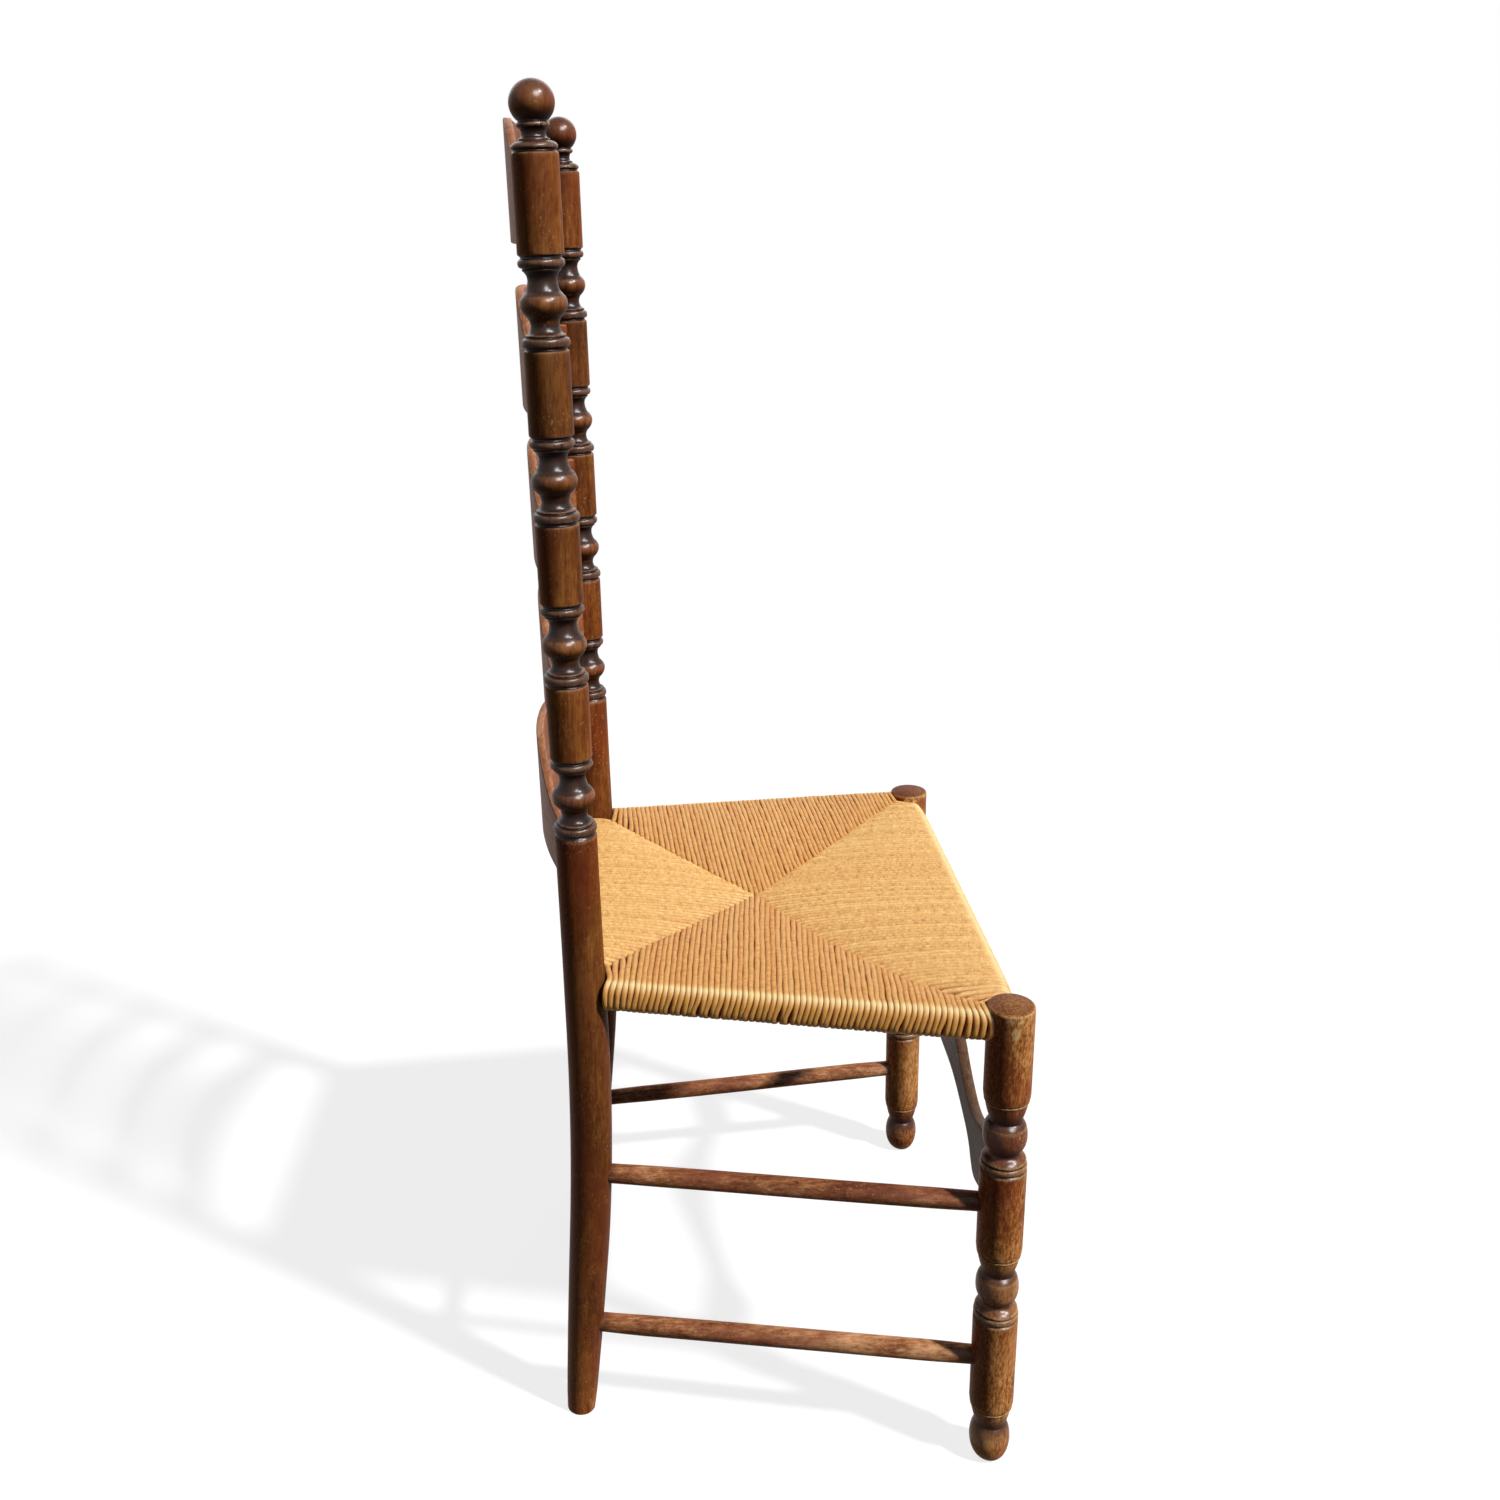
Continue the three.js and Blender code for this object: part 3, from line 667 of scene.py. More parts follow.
def post_marks(outline, stain):
    """Marks of each row of a turned outline: dark grooves, with painted shade on the undersides
    of turnings, wear, shade and polish. They follow how far a row lies behind its neighbours,
    and how far its surface faces up or down."""
    radii, heights = outline.T
    lengths = running_length(outline)
    hollow = smoothed(radii, lengths, HOLLOW_REACH) - radii
    facing = -np.gradient(radii, lengths + np.arange(len(radii)) * 1e-6)
    facing = smoothed(facing, lengths, FACING_REACH)
    shade, turned, lines = stain(radii, heights)
    grooves = ramped(hollow, 0, 0.7) * (radii > 5)
    # Painted shade: turnings darkened where they face down
    painted_underside_shade = 0.92 * turned * ramped(-facing, 0.12, 0.52)
    return {
        "groove_and_underside_shade_mark": np.maximum(grooves, painted_underside_shade),
        "wear": np.maximum(0.6 * ramped(-hollow, 0.075, 0.575), lines),
        "shade": shade,
        "polish": turned * ramped(facing, -0.3, 0.2),
    }


def turned_post(name, side, kind, patches=()):
    """A lathe form laid along a post's raked or bent axis, with its worn patches."""
    outline, stain, axis_x, back, slope, full_radius, material = kind
    radii, heights = outline.T
    angles = turns(POST_SIDES)
    wobble = POST_WOBBLE * np.sin(2 * angles + heights[:, None] / 70)
    radius = radii[:, None] + wobble * np.minimum(1, radii[:, None] / 8)
    tilt = np.arctan(slope(heights)) * np.clip(heights / 12, 0, 1)
    depth = radius * np.sin(angles)
    x = side * axis_x + radius * np.cos(angles)
    y = back(heights)[:, None] - depth * np.cos(tilt)[:, None]
    z = heights[:, None] + depth * np.sin(tilt)[:, None]
    points = np.stack([x, y, z], axis=-1).reshape(-1, 3)
    faces = [tuple(reversed(f)) for f in ring_faces(len(radii), POST_SIDES)]
    marks = post_marks(outline, stain)
    marks = {key: np.repeat(values, POST_SIDES) for key, values in marks.items()}
    for turn, height, wide, tall in patches:
        across = (angles - math.radians(turn)) * full_radius / wide
        reach = np.hypot(across, (heights[:, None] - height) / tall)
        patch = PATCH_WEAR * (1 - ramped(reach, 1, 1 + PATCH_BLUR))
        marks["wear"] = np.maximum(marks["wear"], patch.ravel())
    make_piece(name, points, faces, material, marks)


def rod(name, start, end, post_radii, full_radius, material):
    """A round stretcher between the axes of two posts. It swells from its ends, and its
    surface is shaved by hand."""
    start, end = np.array([start, end], dtype=float)
    along = end - start
    length = np.linalg.norm(along)
    along /= length
    first, last = post_radii[0], length - post_radii[1]
    stations = np.linspace(first - HOUSING, last + HOUSING, ROD_STATIONS)
    share = ramped(np.minimum(stations - first, last - stations), 0, STRETCHER_TAPER)
    share = share * share * (3 - 2 * share) * 0.35 + share * 0.65
    radius = STRETCHER_END_RADIUS + (full_radius - STRETCHER_END_RADIUS) * share
    angles = turns(ROD_SIDES)
    phase = random.uniform(0, 6.28)
    shaved = 0.16 * np.sin(5 * angles + stations[:, None] / 60 + phase)
    shaved = shaved + 0.1 * np.sin(3 * angles - stations[:, None] / 43 + 2 * phase)
    radius = radius[:, None] + shaved * np.minimum(1, share * 2)[:, None]
    side = np.cross(along, (0.0, 0.0, 1.0))
    side /= np.linalg.norm(side)
    up = np.cross(side, along)
    ring = np.cos(angles)[:, None] * side + np.sin(angles)[:, None] * up
    points = start + stations[:, None, None] * along + radius[:, :, None] * ring
    shade = 0.6 * np.repeat(np.clip(1 - share * 6, 0, 1), ROD_SIDES)
    faces = ring_faces(ROD_STATIONS, ROD_SIDES)
    make_piece(name, points.reshape(-1, 3), faces, material, {"shade": shade})


def spline(knots, count):
    """Points of a smooth line through the knots, as (across, up) rows."""
    knots = np.array(knots, dtype=float)
    last = len(knots) - 1
    result = []
    for i in range(count + 1):
        place = last * i / count
        k = min(int(place), last)
        t = place - k
        p0, p1, p2, p3 = (knots[min(max(j, 0), last)] for j in range(k - 1, k + 3))
        v0, v1 = (p2 - p0) / 2, (p3 - p1) / 2
        cubic = 2 * p1 - 2 * p2 + v0 + v1
        square = 3 * p2 - 3 * p1 - 2 * v0 - v1
        result.append(cubic * t ** 3 + square * t ** 2 + v0 * t + p1)
    return np.array(result)


def edge_height(knots, half, across):
    line = spline(knots, EDGE_POINTS)
    return np.interp(np.abs(across) / half, line[:, 0], line[:, 1])


def rounded_section():
    """A plank's section, going round. Each row has the side in depth, the side or share in
    height, and the cosine and sine of the turn round a corner, or None on a face."""
    rows = []
    faces = np.linspace(-1, 1, PLANK_FACE_POINTS)
    quarter = np.linspace(0, math.pi / 2, PLANK_CORNER_POINTS)
    for side in (1, -1):
        rows += [(side, share, 1.0, None) for share in faces[1:-1] * side]
        rows += [(side, side, math.cos(turn), math.sin(turn)) for turn in quarter]
        rows += [(-side, side, math.cos(turn), math.sin(turn)) for turn in quarter[::-1][1:]]
    return rows


def plank(name, centre_line, normals, edges, lean, thickness, ease, material):
    """A sawn board with eased corners. The centre line, its normals and the (low, high) edges
    have a row for each place across, and lean gives the point for a place and a height."""
    rows = rounded_section()
    half = thickness / 2
    points, wear = [], []
    for centre, normal, (low, high) in zip(centre_line, normals, edges):
        middle, reach = (low + high) / 2, (high - low) / 2
        for depth, share, cosine, sine in rows:
            worn = 0.0
            if sine is None:
                out, up = half * depth, middle + (reach - ease) * share
            else:
                out = depth * (half - ease + ease * cosine)
                up = middle + share * (reach - ease + ease * sine)
                if 0 < sine < 1:
                    worn = math.sin(2 * math.atan2(sine, cosine)) ** 0.5
            points.append(lean(centre + normal * out, up))
            wear.append(worn)
    faces = [tuple(reversed(f)) for f in ring_faces(len(edges), len(rows))]
    make_piece(name, points, faces, material, {"wear": wear})


def slat(name, bow, bottom, material):
    half = REAR_AXIS_X
    middle = bottom + SLAT_HEIGHT / 2
    bend = (half * half + bow * bow) / (2 * bow)
    span = half - POST_RADIUS
    across = np.linspace(-span - HOUSING, span + HOUSING, SLAT_STATIONS)
    turn = np.arcsin(across / bend)
    normals = np.stack([np.sin(turn), np.cos(turn)], axis=-1)
    centre_line = np.stack([across, bow - bend + bend * np.cos(turn)], axis=-1)
    angle = math.atan(rear_slope(middle))
    back = rear_back(middle)

    def lean(place, height):
        rise = (height - middle + place[1] * math.sin(angle)) / math.cos(angle)
        return (place[0], back + place[1] * math.cos(angle) + rise * math.sin(angle), height)

    highs = bottom + SLAT_HEIGHT * edge_height(SLAT_TOP, span, across)
    edges = np.column_stack([np.full_like(highs, bottom), highs])
    plank(name, centre_line, normals, edges, lean, SLAT_THICKNESS, SLAT_EASE, material)


def board(name, material):
    half = FRONT_AXIS_X - FRONT_LEG_RADIUS
    across = np.linspace(-half - HOUSING, half + HOUSING, BOARD_STATIONS)
    normals = np.tile((0.0, 1.0), (BOARD_STATIONS, 1))
    centre_line = np.stack([across, np.zeros_like(across)], axis=-1)
    back = front_back(BOARD_BOTTOM + BOARD_HEIGHT / 2)
    edges = BOARD_BOTTOM + BOARD_HEIGHT * np.column_stack([
        edge_height(BOARD_LOW, half, across), edge_height(BOARD_TOP, half, across),
    ])

    def upright(place, height):
        return (place[0], back + place[1], height)

    plank(name, centre_line, normals, edges, upright, BOARD_THICKNESS, BOARD_EASE, material)


# Rush seat. A panel has its two corners and the direction from the middle to its rail.
CORNERS = {}
for side in (1, -1):
    CORNERS["front", side] = np.array((side * FRONT_AXIS_X, FRONT_RAIL_SETBACK, FRONT_RAIL_HEIGHT))
    CORNERS["rear", side] = np.array((side * REAR_AXIS_X, SEAT_DEPTH, REAR_RAIL_HEIGHT))
MIDDLE = np.array((0.0, FRONT_RAIL_SETBACK + SEAT_CENTRE,
                   (REAR_RAIL_HEIGHT + FRONT_RAIL_HEIGHT) / 2 + ROLL_HALF_HEIGHT - SEAT_DIP
                   - SEAT_CENTRE_THICKNESS / 2))
PANELS = {
    "front": (("front", -1), ("front", 1), (0, -1)),
    "left": (("front", 1), ("rear", 1), (1, 0)),
    "rear": (("rear", 1), ("rear", -1), (0, 1)),
    "right": (("rear", -1), ("front", -1), (-1, 0)),
}


def place_axis(panel):
    """Axis that a panel's rail lies along: 0 (x) in front and behind, 1 (y) at the sides."""
    return abs(PANELS[panel][2][0])


def crease_points(corner_name, shares):
    """Points of a corner's crease at shares of the way to the middle."""
    shares = np.asarray(shares, dtype=float)[:, None]
    corner = CORNERS[corner_name]
    points = corner + (MIDDLE - corner) * shares
    points[:, :1] += CREASE_BOWS.get(corner_name, 0) * 4 * shares * (1 - shares)
    return points


def crease_start(corner_name):
    """Share of the crease at which the strands clear the post in their corner."""
    corner, end = CORNERS[corner_name], corner_name[0]
    radius = LEG_RADII[end] + STRAND_HALF_HEIGHT + POST_GAP
    axis_back = front_back(FRONT_RAIL_HEIGHT) if end == "front" else SEAT_DEPTH
    shares = np.arange(1, 400) / 1000
    points = crease_points(corner_name, shares)
    clear = np.hypot(points[:, 0] - corner[0], points[:, 1] - axis_back) > radius
    return shares[np.argmax(clear)]


def panel_station(panel, place, bounds):
    """Rail point, crease point, half thickness and sideways offset at the crease of the strand
    at a place along its rail."""
    axis = place_axis(panel)
    first, second, _ = PANELS[panel]
    start, end = CORNERS[first], CORNERS[second]
    rail = start + (end - start) * (place - start[axis]) / (end[axis] - start[axis])
    lean = SIDE_LEAN * axis
    middle = MIDDLE[axis] + lean * abs(rail[0])
    toward_first = (place - middle) * (start[axis] - middle) > 0
    name, corner = (first, start) if toward_first else (second, end)
    limit = max(bounds, key=lambda bound: (bound - middle) * (corner[axis] - middle))
    begin = crease_start(name)
    even = begin + (1 - begin) * (place - limit) / (middle - limit)
    shares = np.linspace(0, 1, 301)
    points = crease_points(name, shares)
    reached = points[:, axis] + lean * abs(points[:, 0] - rail[0])
    if reached[0] > reached[-1]:
        shares, reached = shares[::-1], reached[::-1]
    settled = max(np.interp(place, reached, shares), begin)
    fan = max(0.0, 1 - abs(place - limit) / FAN_REACH) ** 1.5
    share = settled + (even - settled) * fan
    crease = crease_points(name, [share])[0]
    thinning = (ROLL_HALF_HEIGHT - SEAT_CENTRE_THICKNESS / 2) * math.sqrt(max(share, 0))
    return rail, crease, ROLL_HALF_HEIGHT - thinning, crease[axis] - place


def roll_point(angle, inset, shoulder):
    """Outward and upward place on the squarish roll round a rail."""
    power = 2 / (ROLL_SQUARENESS - 1.1 * shoulder)
    cosine, sine = math.cos(angle), math.sin(angle)
    out = (ROLL_HALF_WIDTH - inset) * abs(cosine) ** power
    up = (ROLL_HALF_HEIGHT - inset) * math.copysign(abs(sine) ** power, sine)
    return out, up - SHOULDER_DROP * shoulder * max(0, sine)


def section_line(panel, place, bounds, inset, steps, gap, shoulder=0.0):
    """Centre line of a strand: crease on top, rail, roll, back to the crease underneath. Rows
    are (outward from the rail, height, roll share, sideways shift). Steps are for a flat
    stretch and for the roll."""
    rail, crease, half, aside = panel_station(panel, place, bounds)
    run_axis = 1 - place_axis(panel)
    length = abs(crease[run_axis] - rail[run_axis])
    flat_steps, roll_steps = steps
    top, bottom, roll = [], [], []
    for run, sign in ((top, 1), (bottom, -1)):
        for i in range(flat_steps):
            across = 1 - i / flat_steps
            edge = rail[2] + sign * ROLL_HALF_HEIGHT - SHOULDER_DROP * shoulder * (sign > 0)
            low = crease[2] + sign * half
            height = edge + (low - edge) * across * across - sign * inset
            run.append((-(length - gap) * across, height, 0.0, aside * across))
    for i in range(roll_steps + 1):
        angle = math.pi / 2 - math.pi * i / roll_steps
        out, up = roll_point(angle, inset, shoulder)
        roll.append((out, rail[2] + up, math.sin(math.pi * i / roll_steps), 0.0))
    return rail, np.array(top + roll + bottom[::-1])


def with_hooks(line):
    """The line with both ends diving between the strands that they meet."""
    first, last = line[0], line[-1]
    depth = min(HOOK_DEPTH, 0.35 * (first[1] - last[1]))
    hook = []
    for share in (1.0, 0.75, 0.5, 0.25):
        angle = share * math.pi / 2
        back, down = HOOK_REACH * math.sin(angle), depth * (1 - math.cos(angle))
        hook.append((first[0] - back, first[1] - down, 0.0, first[3]))
    tail = [(row[0], last[1] + first[1] - row[1], 0.0, row[3]) for row in hook[::-1]]
    return np.vstack([hook, line, tail])


def strand_places(panel):
    """Places of the strands between the two posts, with a little unevenness."""
    if place_axis(panel) == 0:
        high = (FRONT_AXIS_X if panel == "front" else REAR_AXIS_X) - LEG_RADII[panel]
        low, uneven = -high, 0.04
    else:
        low = front_back(FRONT_RAIL_HEIGHT) + FRONT_LEG_RADIUS
        high, uneven = SEAT_DEPTH - REAR_LEG_RADIUS, 0.1
    count = STRAND_COUNTS[panel]
    pitch = (high - low - 0.8) / count
    order = np.arange(count)
    places = low + 0.4 + pitch * (order + 0.5)
    inner = np.clip(np.minimum(order, count - 1 - order) / 3, 0, 1)
    return places + random.normal(0, uneven, count) * inner, pitch, (low, high)


def strand_section():
    """Angles round a strand, its squarish width and height there, and the share of flank, where the
    cord gets painted shade.
    """
    angles = turns(STRAND_SIDES)
    cosine, sine = np.cos(angles), np.sin(angles)
    wide = np.sign(cosine) * np.abs(cosine) ** STRAND_FLATNESS
    high = np.sign(sine) * np.abs(sine) ** STRAND_FLATNESS
    return angles, wide, high, ramped(np.abs(cosine), 0.45, 0.85)


def strand_sway(strand, on_side):
    """Wandering along the rail: waves of the strand's own, and a slow one that it shares."""
    run, waves, number = strand["run"], strand["waves"], strand["number"]
    long_waves = (0.08 + 0.14 * on_side) * np.sin(run / 21 + waves[0] * 3)
    short_waves = 0.2 * np.sin(run / 6 + waves[1] * 5)
    ripples = 0.16 * (1 - on_side) * np.sin(run / 3.1 + waves[3] * 7)
    shared = np.sin(run / 33 + number * 0.17 + 2 * math.sin(number * 0.09))
    return long_waves + short_waves + ripples + (0.15 + 0.25 * on_side) * shared


def strand_shift(panel, strand, line, rail_height):
    """How far each point of a strand lies along the rail from the strand's place there."""
    on_side = place_axis(panel)
    out, height, outside, aside = line.T
    nearest = strand["nearest"]
    sway = strand_sway(strand, on_side) * np.clip(1 - out / 10, 0.25, 1)
    splay = strand["splay"] * ramped(rail_height - height, -7, 5) * outside
    drop = np.clip(rail_height + ROLL_HALF_HEIGHT - 3 - height, 0, 24) * (out > -30)
    lean = ROLL_LEAN * on_side * drop * outside * min(1, nearest / 7)
    shift = aside + sway + splay + lean
    # Room beside the round post lets the outermost strands spread towards it
    if nearest < SPREADING_STRANDS:
        radius = LEG_RADII.get(panel, REAR_LEG_RADIUS)
        room = radius - np.sqrt(radius ** 2 - np.clip(out, 0, radius - 1) ** 2)
        spreading = 0.75 * (1 - nearest / SPREADING_STRANDS) ** 1.3
        shift = shift + strand["half"] * room * spreading
    curl = np.clip(1 - strand["to_end"] / CURL_LENGTH, 0, 1) ** 2
    curl = curl * (1.2 + 0.6 * strand["waves"][2])
    return shift + curl * math.copysign(0.5 if on_side else 1, strand["place"] - MIDDLE[on_side])


def strand_sizes(strand, half_pitch, on_side):
    """Half width and half height of a strand along its length."""
    run, to_end, waves = strand["run"], strand["to_end"], strand["waves"]
    lumps = 1 + 0.06 * np.sin(run / 6.3 + waves[2] * 4) + 0.05 * np.sin(run / 2.9 + waves[3] * 6)
    ends = np.sqrt(1 - np.clip(1 - to_end / 3.0, 0, 0.94) ** 2)
    notch = 1 - (0.26 if on_side else 0.1) * np.clip(1 - to_end / 7, 0, 1)
    width = half_pitch * STRAND_FILL * lumps * ends * notch
    return width, STRAND_HALF_HEIGHT * (1 + 0.06 * np.sin(run / 5.1 + waves[4] * 3)) * ends


def strand_marks(strand, outside, section, half_pitch, on_side):
    """What the cord's material reads from the points of one strand."""
    angles, _, _, flank_shade = section
    run = strand["run"]
    twist = run[:, None] * STRAND_TWIST + angles + strand["waves"][3]
    ahead = np.repeat(run[:, None] + 517 * strand["tint"] + 31 * strand["number"],
                      STRAND_SIDES, axis=1)
    fibre = np.stack([ahead, half_pitch * np.cos(twist), half_pitch * np.sin(twist)], axis=-1)
    bend = np.exp(-(((run - run[np.argmax(outside > 0.4)]) / 3.4) ** 2))
    return {
        "fibre": fibre.reshape(-1, 3) * MILLIMETRE,
        "tint": np.full(twist.size, strand["tint"]),
        "outside": np.repeat(outside, STRAND_SIDES),
        # The roll's bend is rubbed paler and painted with a highlight; the flanks get painted
        # shade, full on the side panels, which are painted darker as shade all over
        "ridge_wear_and_highlight": (bend[:, None] * (1 - flank_shade * 0.6)).ravel(),
        "flank_shade": np.tile(flank_shade * (1.0 if on_side else 0.6), len(run)),
        "side_panel_shade": np.full(twist.size, float(on_side)),
    }


def strand_panel(panel, material):
    """All strands of one panel as one piece."""
    places, pitch, bounds = strand_places(panel)
    count, on_side = len(places), place_axis(panel)
    outward = np.array(PANELS[panel][2], dtype=float)
    lateral = np.array((abs(outward[1]), abs(outward[0]), 0.0))
    section = strand_section()
    _, wide, high, _ = section
    splay = random.normal(0, 1, count)
    splay = (splay - np.convolve(splay, np.ones(3) / 3, "same")) * SPLAY
    waves = random.normal(0, 1, (count, 5))
    tint = random.uniform(0, 1, count)
    points, faces, marks = [], [], []
    for i, place in enumerate(places):
        strand = {
            "number": i, "nearest": min(i, count - 1 - i), "half": -1 if i < count / 2 else 1,
            "place": place, "splay": splay[i], "waves": waves[i], "tint": tint[i],
        }
        shoulder = max(0.0, 1 - strand["nearest"] / SHOULDER_STRANDS) ** 1.5
        shoulder = shoulder if panel == "front" else 0.0
        rail, line = section_line(panel, place, bounds, STRAND_HALF_HEIGHT, STRAND_STEPS,
                                  CREASE_GAP, shoulder)
        line = with_hooks(line)
        run = running_length(line)
        strand.update(run=run, to_end=np.minimum(run, run[-1] - run))
        heading = np.gradient(line[:, :2], axis=0)
        heading /= np.linalg.norm(heading, axis=1)[:, None]
        rise = np.column_stack([-outward * heading[:, 1:], heading[:, 0]])
        shift = strand_shift(panel, strand, line, rail[2])
        centre = np.column_stack([outward * line[:, :1], line[:, 1]])
        centre += np.where(lateral, place, rail) * (1, 1, 0) + shift[:, None] * lateral
        lift = (0.9 if on_side else -1.0) * np.exp(-((strand["to_end"] / 9) ** 2))
        centre += lift[:, None] * rise
        width, tall = strand_sizes(strand, pitch / 2, on_side)
        ring = (wide[:, None] * width[:, None, None] * lateral
                + high[:, None] * tall[:, None, None] * rise[:, None])
        faces += ring_faces(len(line), STRAND_SIDES, sum(map(len, points)))
        points.append((centre[:, None] + ring).reshape(-1, 3))
        marks.append(strand_marks(strand, line[:, 2], section, pitch / 2, on_side))
    marks = {key: np.concatenate([each[key] for each in marks]) for key in marks[0]}
    make_piece(f"rush_{panel}", np.concatenate(points), faces, material, marks,
               "rush_seat")


def core_panel(panel, material):
    """Filling just under one panel's strands, closed at the creases and the posts. Its dark colour
    is painted shade in the gaps between the strands.
    """
    places, _, bounds = strand_places(panel)
    outward = PANELS[panel][2]
    rings = []
    for place in np.linspace(places[0], places[-1], CORE_RINGS):
        rail, line = section_line(panel, place, bounds, CORE_INSET, CORE_STEPS, CORE_GAP)
        across = place + line[:, 3]
        if place_axis(panel) == 0:
            x, y = across, rail[1] + outward[1] * line[:, 0]
        else:
            x, y = rail[0] + outward[0] * line[:, 0], across
        rings.append(np.stack([x, y, line[:, 1]], axis=-1))
    faces = ring_faces(len(rings), len(rings[0]))
    make_piece(f"rush_core_{panel}", np.concatenate(rings), faces, material,
               node="rush_seat")


# The set
def make_camera():
    data = bpy.data.cameras.new("camera")
    data.sensor_fit = "HORIZONTAL"
    data.sensor_width = SENSOR_WIDTH
    data.lens = SENSOR_WIDTH * FOCAL_PIXELS / FRAME_PIXELS
    data.shift_x = (FRAME_PIXELS / 2 - OPTICAL_CENTRE[0]) / FRAME_PIXELS
    data.shift_y = (OPTICAL_CENTRE[1] - FRAME_PIXELS / 2) / FRAME_PIXELS
    camera = add_object("camera", data)
    heading = Matrix.Rotation(CAMERA_PAN - math.pi / 2, 4, "Z")
    tilt = Matrix.Rotation(math.pi / 2 - CAMERA_TILT, 4, "X")
    roll = Matrix.Rotation(-CAMERA_ROLL, 4, "Z")
    camera.matrix_world = Matrix.Translation(CAMERA_PLACE) @ heading @ tilt @ roll
    bpy.context.scene.camera = camera


def seen_directly(tree):
    """1 for camera, glossy and transmission rays."""
    rays = add(tree, "LightPath").outputs
    seen = maths(tree, "MAXIMUM", rays["Is Camera Ray"], rays["Is Glossy Ray"])
    return maths(tree, "MAXIMUM", seen, rays["Is Transmission Ray"])


def make_floor():
    """Pale floor that keeps the shadow and fades into the white surroundings far out."""
    material, tree = new_material("floor_pale")
    seen = seen_directly(tree)
    matt = add(tree, "BsdfDiffuse", {"Color": grey(FLOOR_GREY)})
    glow = add(tree, "Emission", {"Color": grey(1.0), "Strength": FLOOR_GLOW})
    bright = add(tree, "AddShader", {0: matt, 1: glow})
    dim = add(tree, "BsdfDiffuse", {"Color": grey(FLOOR_BOUNCE)})
    both = add(tree, "MixShader", {0: seen, 1: dim, 2: bright})
    place = add(tree, "TexCoord").outputs["Object"]
    distance = add(tree, "VectorMath", {0: place}, operation="LENGTH").outputs["Value"]
    far = times(tree, spread(tree, distance, *FLOOR_FADE), seen)
    white = add(tree, "Emission", {"Color": grey(1.0), "Strength": 1.0})
    whole = add(tree, "MixShader", {0: far, 1: both, 2: white})
    add(tree, "OutputMaterial", {"Surface": whole})
    mesh = bpy.data.meshes.new("floor")
    corners = ((-1, -1), (1, -1), (1, 1), (-1, 1))
    corners = [(x * FLOOR_REACH, y * FLOOR_REACH, FLOOR_HEIGHT) for x, y in corners]
    mesh.from_pydata(corners, [], [(0, 1, 2, 3)])
    mesh.materials.append(material)
    floor = add_object("floor", mesh)


def make_world():
    """White surroundings that give only a weak light."""
    world = bpy.data.worlds.new("studio")
    world.use_nodes = True
    tree = world.node_tree
    tree.nodes.clear()
    white = add(tree, "Background", {"Color": grey(1.0), "Strength": 1.0})
    fill = add(tree, "Background", {"Color": grey(1.0), "Strength": WORLD_FILL})
    both = add(tree, "MixShader", {0: seen_directly(tree), 1: fill, 2: white})
    add(tree, "OutputWorld", {"Surface": both})
    bpy.context.scene.world = world


def make_lamps():
    """A key from the front and above on the camera's side, broad weak fills, and a soft light
    that shows in the gloss alone."""
    for name, strength, size, place in LAMPS:
        data = bpy.data.lights.new(name, "SUN")
        data.energy = strength
        data.angle = math.radians(size)
        lamp = add_object(name, data)
        lamp.visible_diffuse = name != "sheen"
        lamp.location = Vector(place) * LAMP_DISTANCE
        lamp.rotation_euler = (-Vector(place)).to_track_quat("-Z", "Y").to_euler()


def dress_rails(kind, grain, words):
    """Gives seat rails, which stay as they are in the CAD, their own wood."""
    material = wood(f"oak_{kind}_rails", grain, RAIL_OAK, rough=0.7, specks=0.0)
    for word in words:
        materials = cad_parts[f"seat_rail_{word}"].data.materials
        materials.clear()
        materials.append(material)


make_camera()
make_world()
make_floor()
make_lamps()

# Woods, in colours from 0 to 255
# Each wood's groove colour also paints shade on the undersides of turnings
OLD_OAK = {
    "dark": (62, 29, 11), "middle": (126, 70, 28), "light": (180, 116, 56),
    "red": (124, 54, 26), "shade": (32, 16, 15), "groove_and_underside_shade_colour": (10, 6, 6),
    "worn": (190, 138, 106), "fleck": (214, 164, 102), "scuffed": (206, 124, 62),
}
# On the front legs the shade colour is stain and painted shade under each swelling
LEG_OAK = dict(OLD_OAK, dark=(92, 44, 18), middle=(176, 106, 50),
               light=(240, 176, 106), red=(146, 66, 36), worn=(240, 196, 134),
               shade=(60, 26, 18))
# Painted sheen: the slats' oak is paler and pinker than the posts', as the slats look where light
# grazes them
SLAT_OAK_PAINTED_SHEEN = dict(OLD_OAK, dark=(84, 42, 24), middle=(146, 88, 54),
                light=(196, 138, 98), red=(140, 72, 48))
BOARD_OAK = dict(OLD_OAK, dark=(46, 30, 20), middle=(80, 55, 39),
                 light=(118, 86, 62), red=(78, 48, 34), worn=(130, 100, 80))
STRETCHER_OAK = dict(OLD_OAK, dark=(98, 50, 28), middle=(164, 104, 66),
                     light=(228, 170, 122), red=(140, 78, 58), shade=(66, 36, 30))
RAIL_OAK = dict(STRETCHER_OAK, dark=(110, 72, 46), middle=(150, 108, 70),
                light=(180, 140, 98))

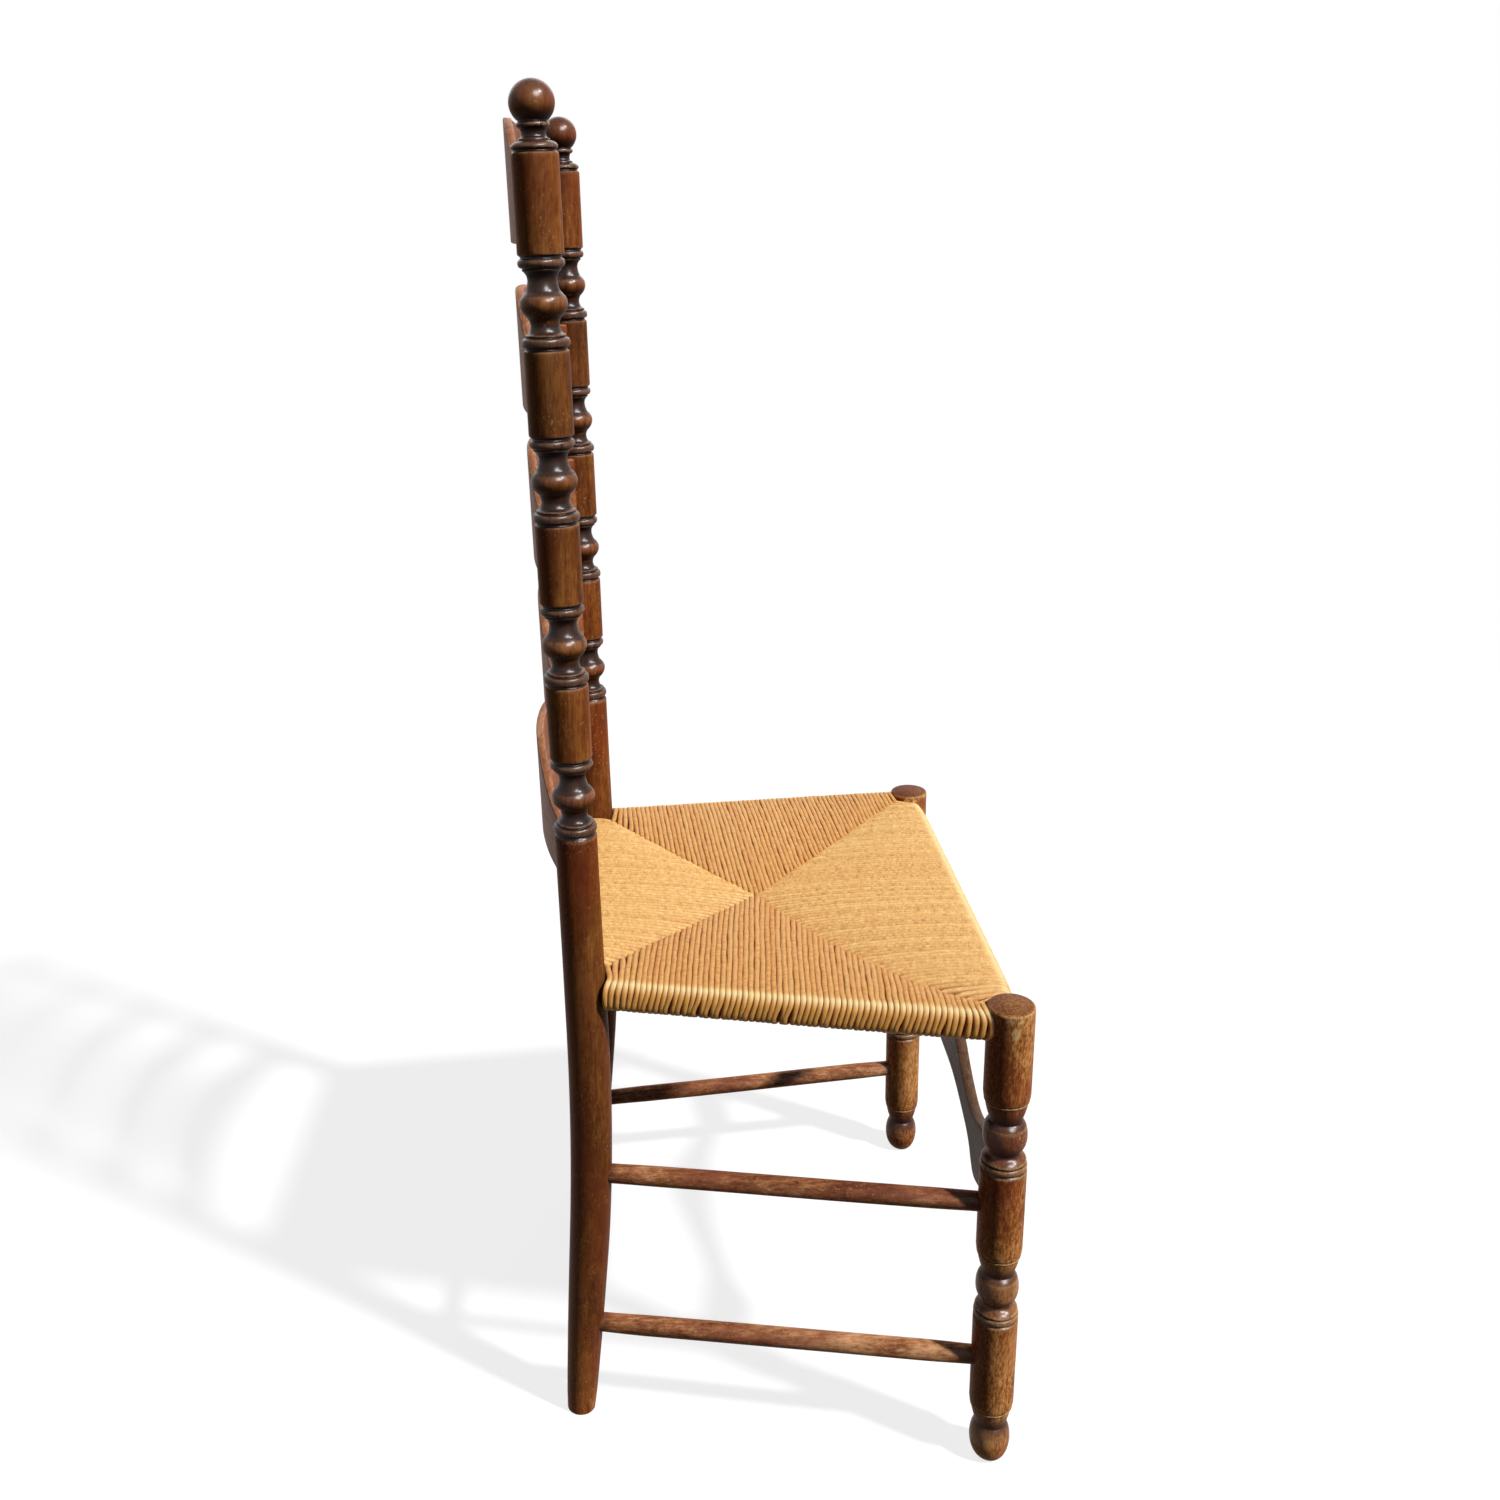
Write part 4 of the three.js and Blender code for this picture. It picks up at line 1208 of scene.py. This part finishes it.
# Outline, stain, axis, how far back it lies, its slope, full radius and wood
REAR_POST = (
    rear_outline(), rear_stain, REAR_AXIS_X, rear_back, rear_slope, POST_RADIUS,
    wood("oak_posts", "Z", OLD_OAK, cloudy=0.5, reach=0.1),
)
FRONT_LEG = (
    front_outline(), front_stain, FRONT_AXIS_X, front_back, front_slope, FRONT_LEG_RADIUS,
    wood("oak_legs", "Z", LEG_OAK, specks=0.95, cloudy=0.86, reach=0.07, fineness=430.0, shift=0.7),
)
slat_wood = wood("oak_slats", "X", SLAT_OAK_PAINTED_SHEEN)
board_wood = wood("oak_board", "X", BOARD_OAK)
stretcher_looks = {"rough": 0.55, "specks": 0.8, "cloudy": 0.6, "reach": 0.08}
side_wood = wood("oak_side_stretchers", "Y", STRETCHER_OAK, **stretcher_looks)
back_wood = wood("oak_rear_stretcher", "X", STRETCHER_OAK, **stretcher_looks)
dress_rails("side", "Y", ("left", "right"))
dress_rails("cross", "X", ("front", "rear"))
rush_cord = rush_material()
stuffing = core_material()

for word, side in (("left", 1), ("right", -1)):
    turned_post(f"fine_rear_post_{word}", side, REAR_POST)
    turned_post(f"fine_front_leg_{word}", side, FRONT_LEG, WORN_PATCHES)
    for level, low, full_radius in SIDE_STRETCHERS:
        high = low + SIDE_STRETCHER_RISE
        start = (side * REAR_AXIS_X, rear_back(low), low)
        end = (side * FRONT_AXIS_X, front_back(high), high)
        rod(f"fine_side_stretcher_{level}_{word}", start, end,
            (REAR_LEG_RADIUS, FRONT_LEG_RADIUS), full_radius, side_wood)

height = REAR_STRETCHER_HEIGHT
rear_ends = [(side * REAR_AXIS_X, rear_back(height), height) for side in (-1, 1)]
rod("fine_rear_stretcher", *rear_ends, (REAR_LEG_RADIUS, REAR_LEG_RADIUS),
    REAR_STRETCHER_RADIUS, back_wood)

for i, bow in enumerate(SLAT_BOWS):
    bottom = LOWEST_BLOCK + 3 * BLOCK_PITCH + SLAT_LIFT - i * BLOCK_PITCH
    slat(f"fine_slat_{i + 1}", bow, bottom, slat_wood)
board("fine_front_stretcher_board", board_wood)

for panel in PANELS:
    core_panel(panel, stuffing)
    strand_panel(panel, rush_cord)

bpy.context.scene.view_settings.view_transform = "Standard"
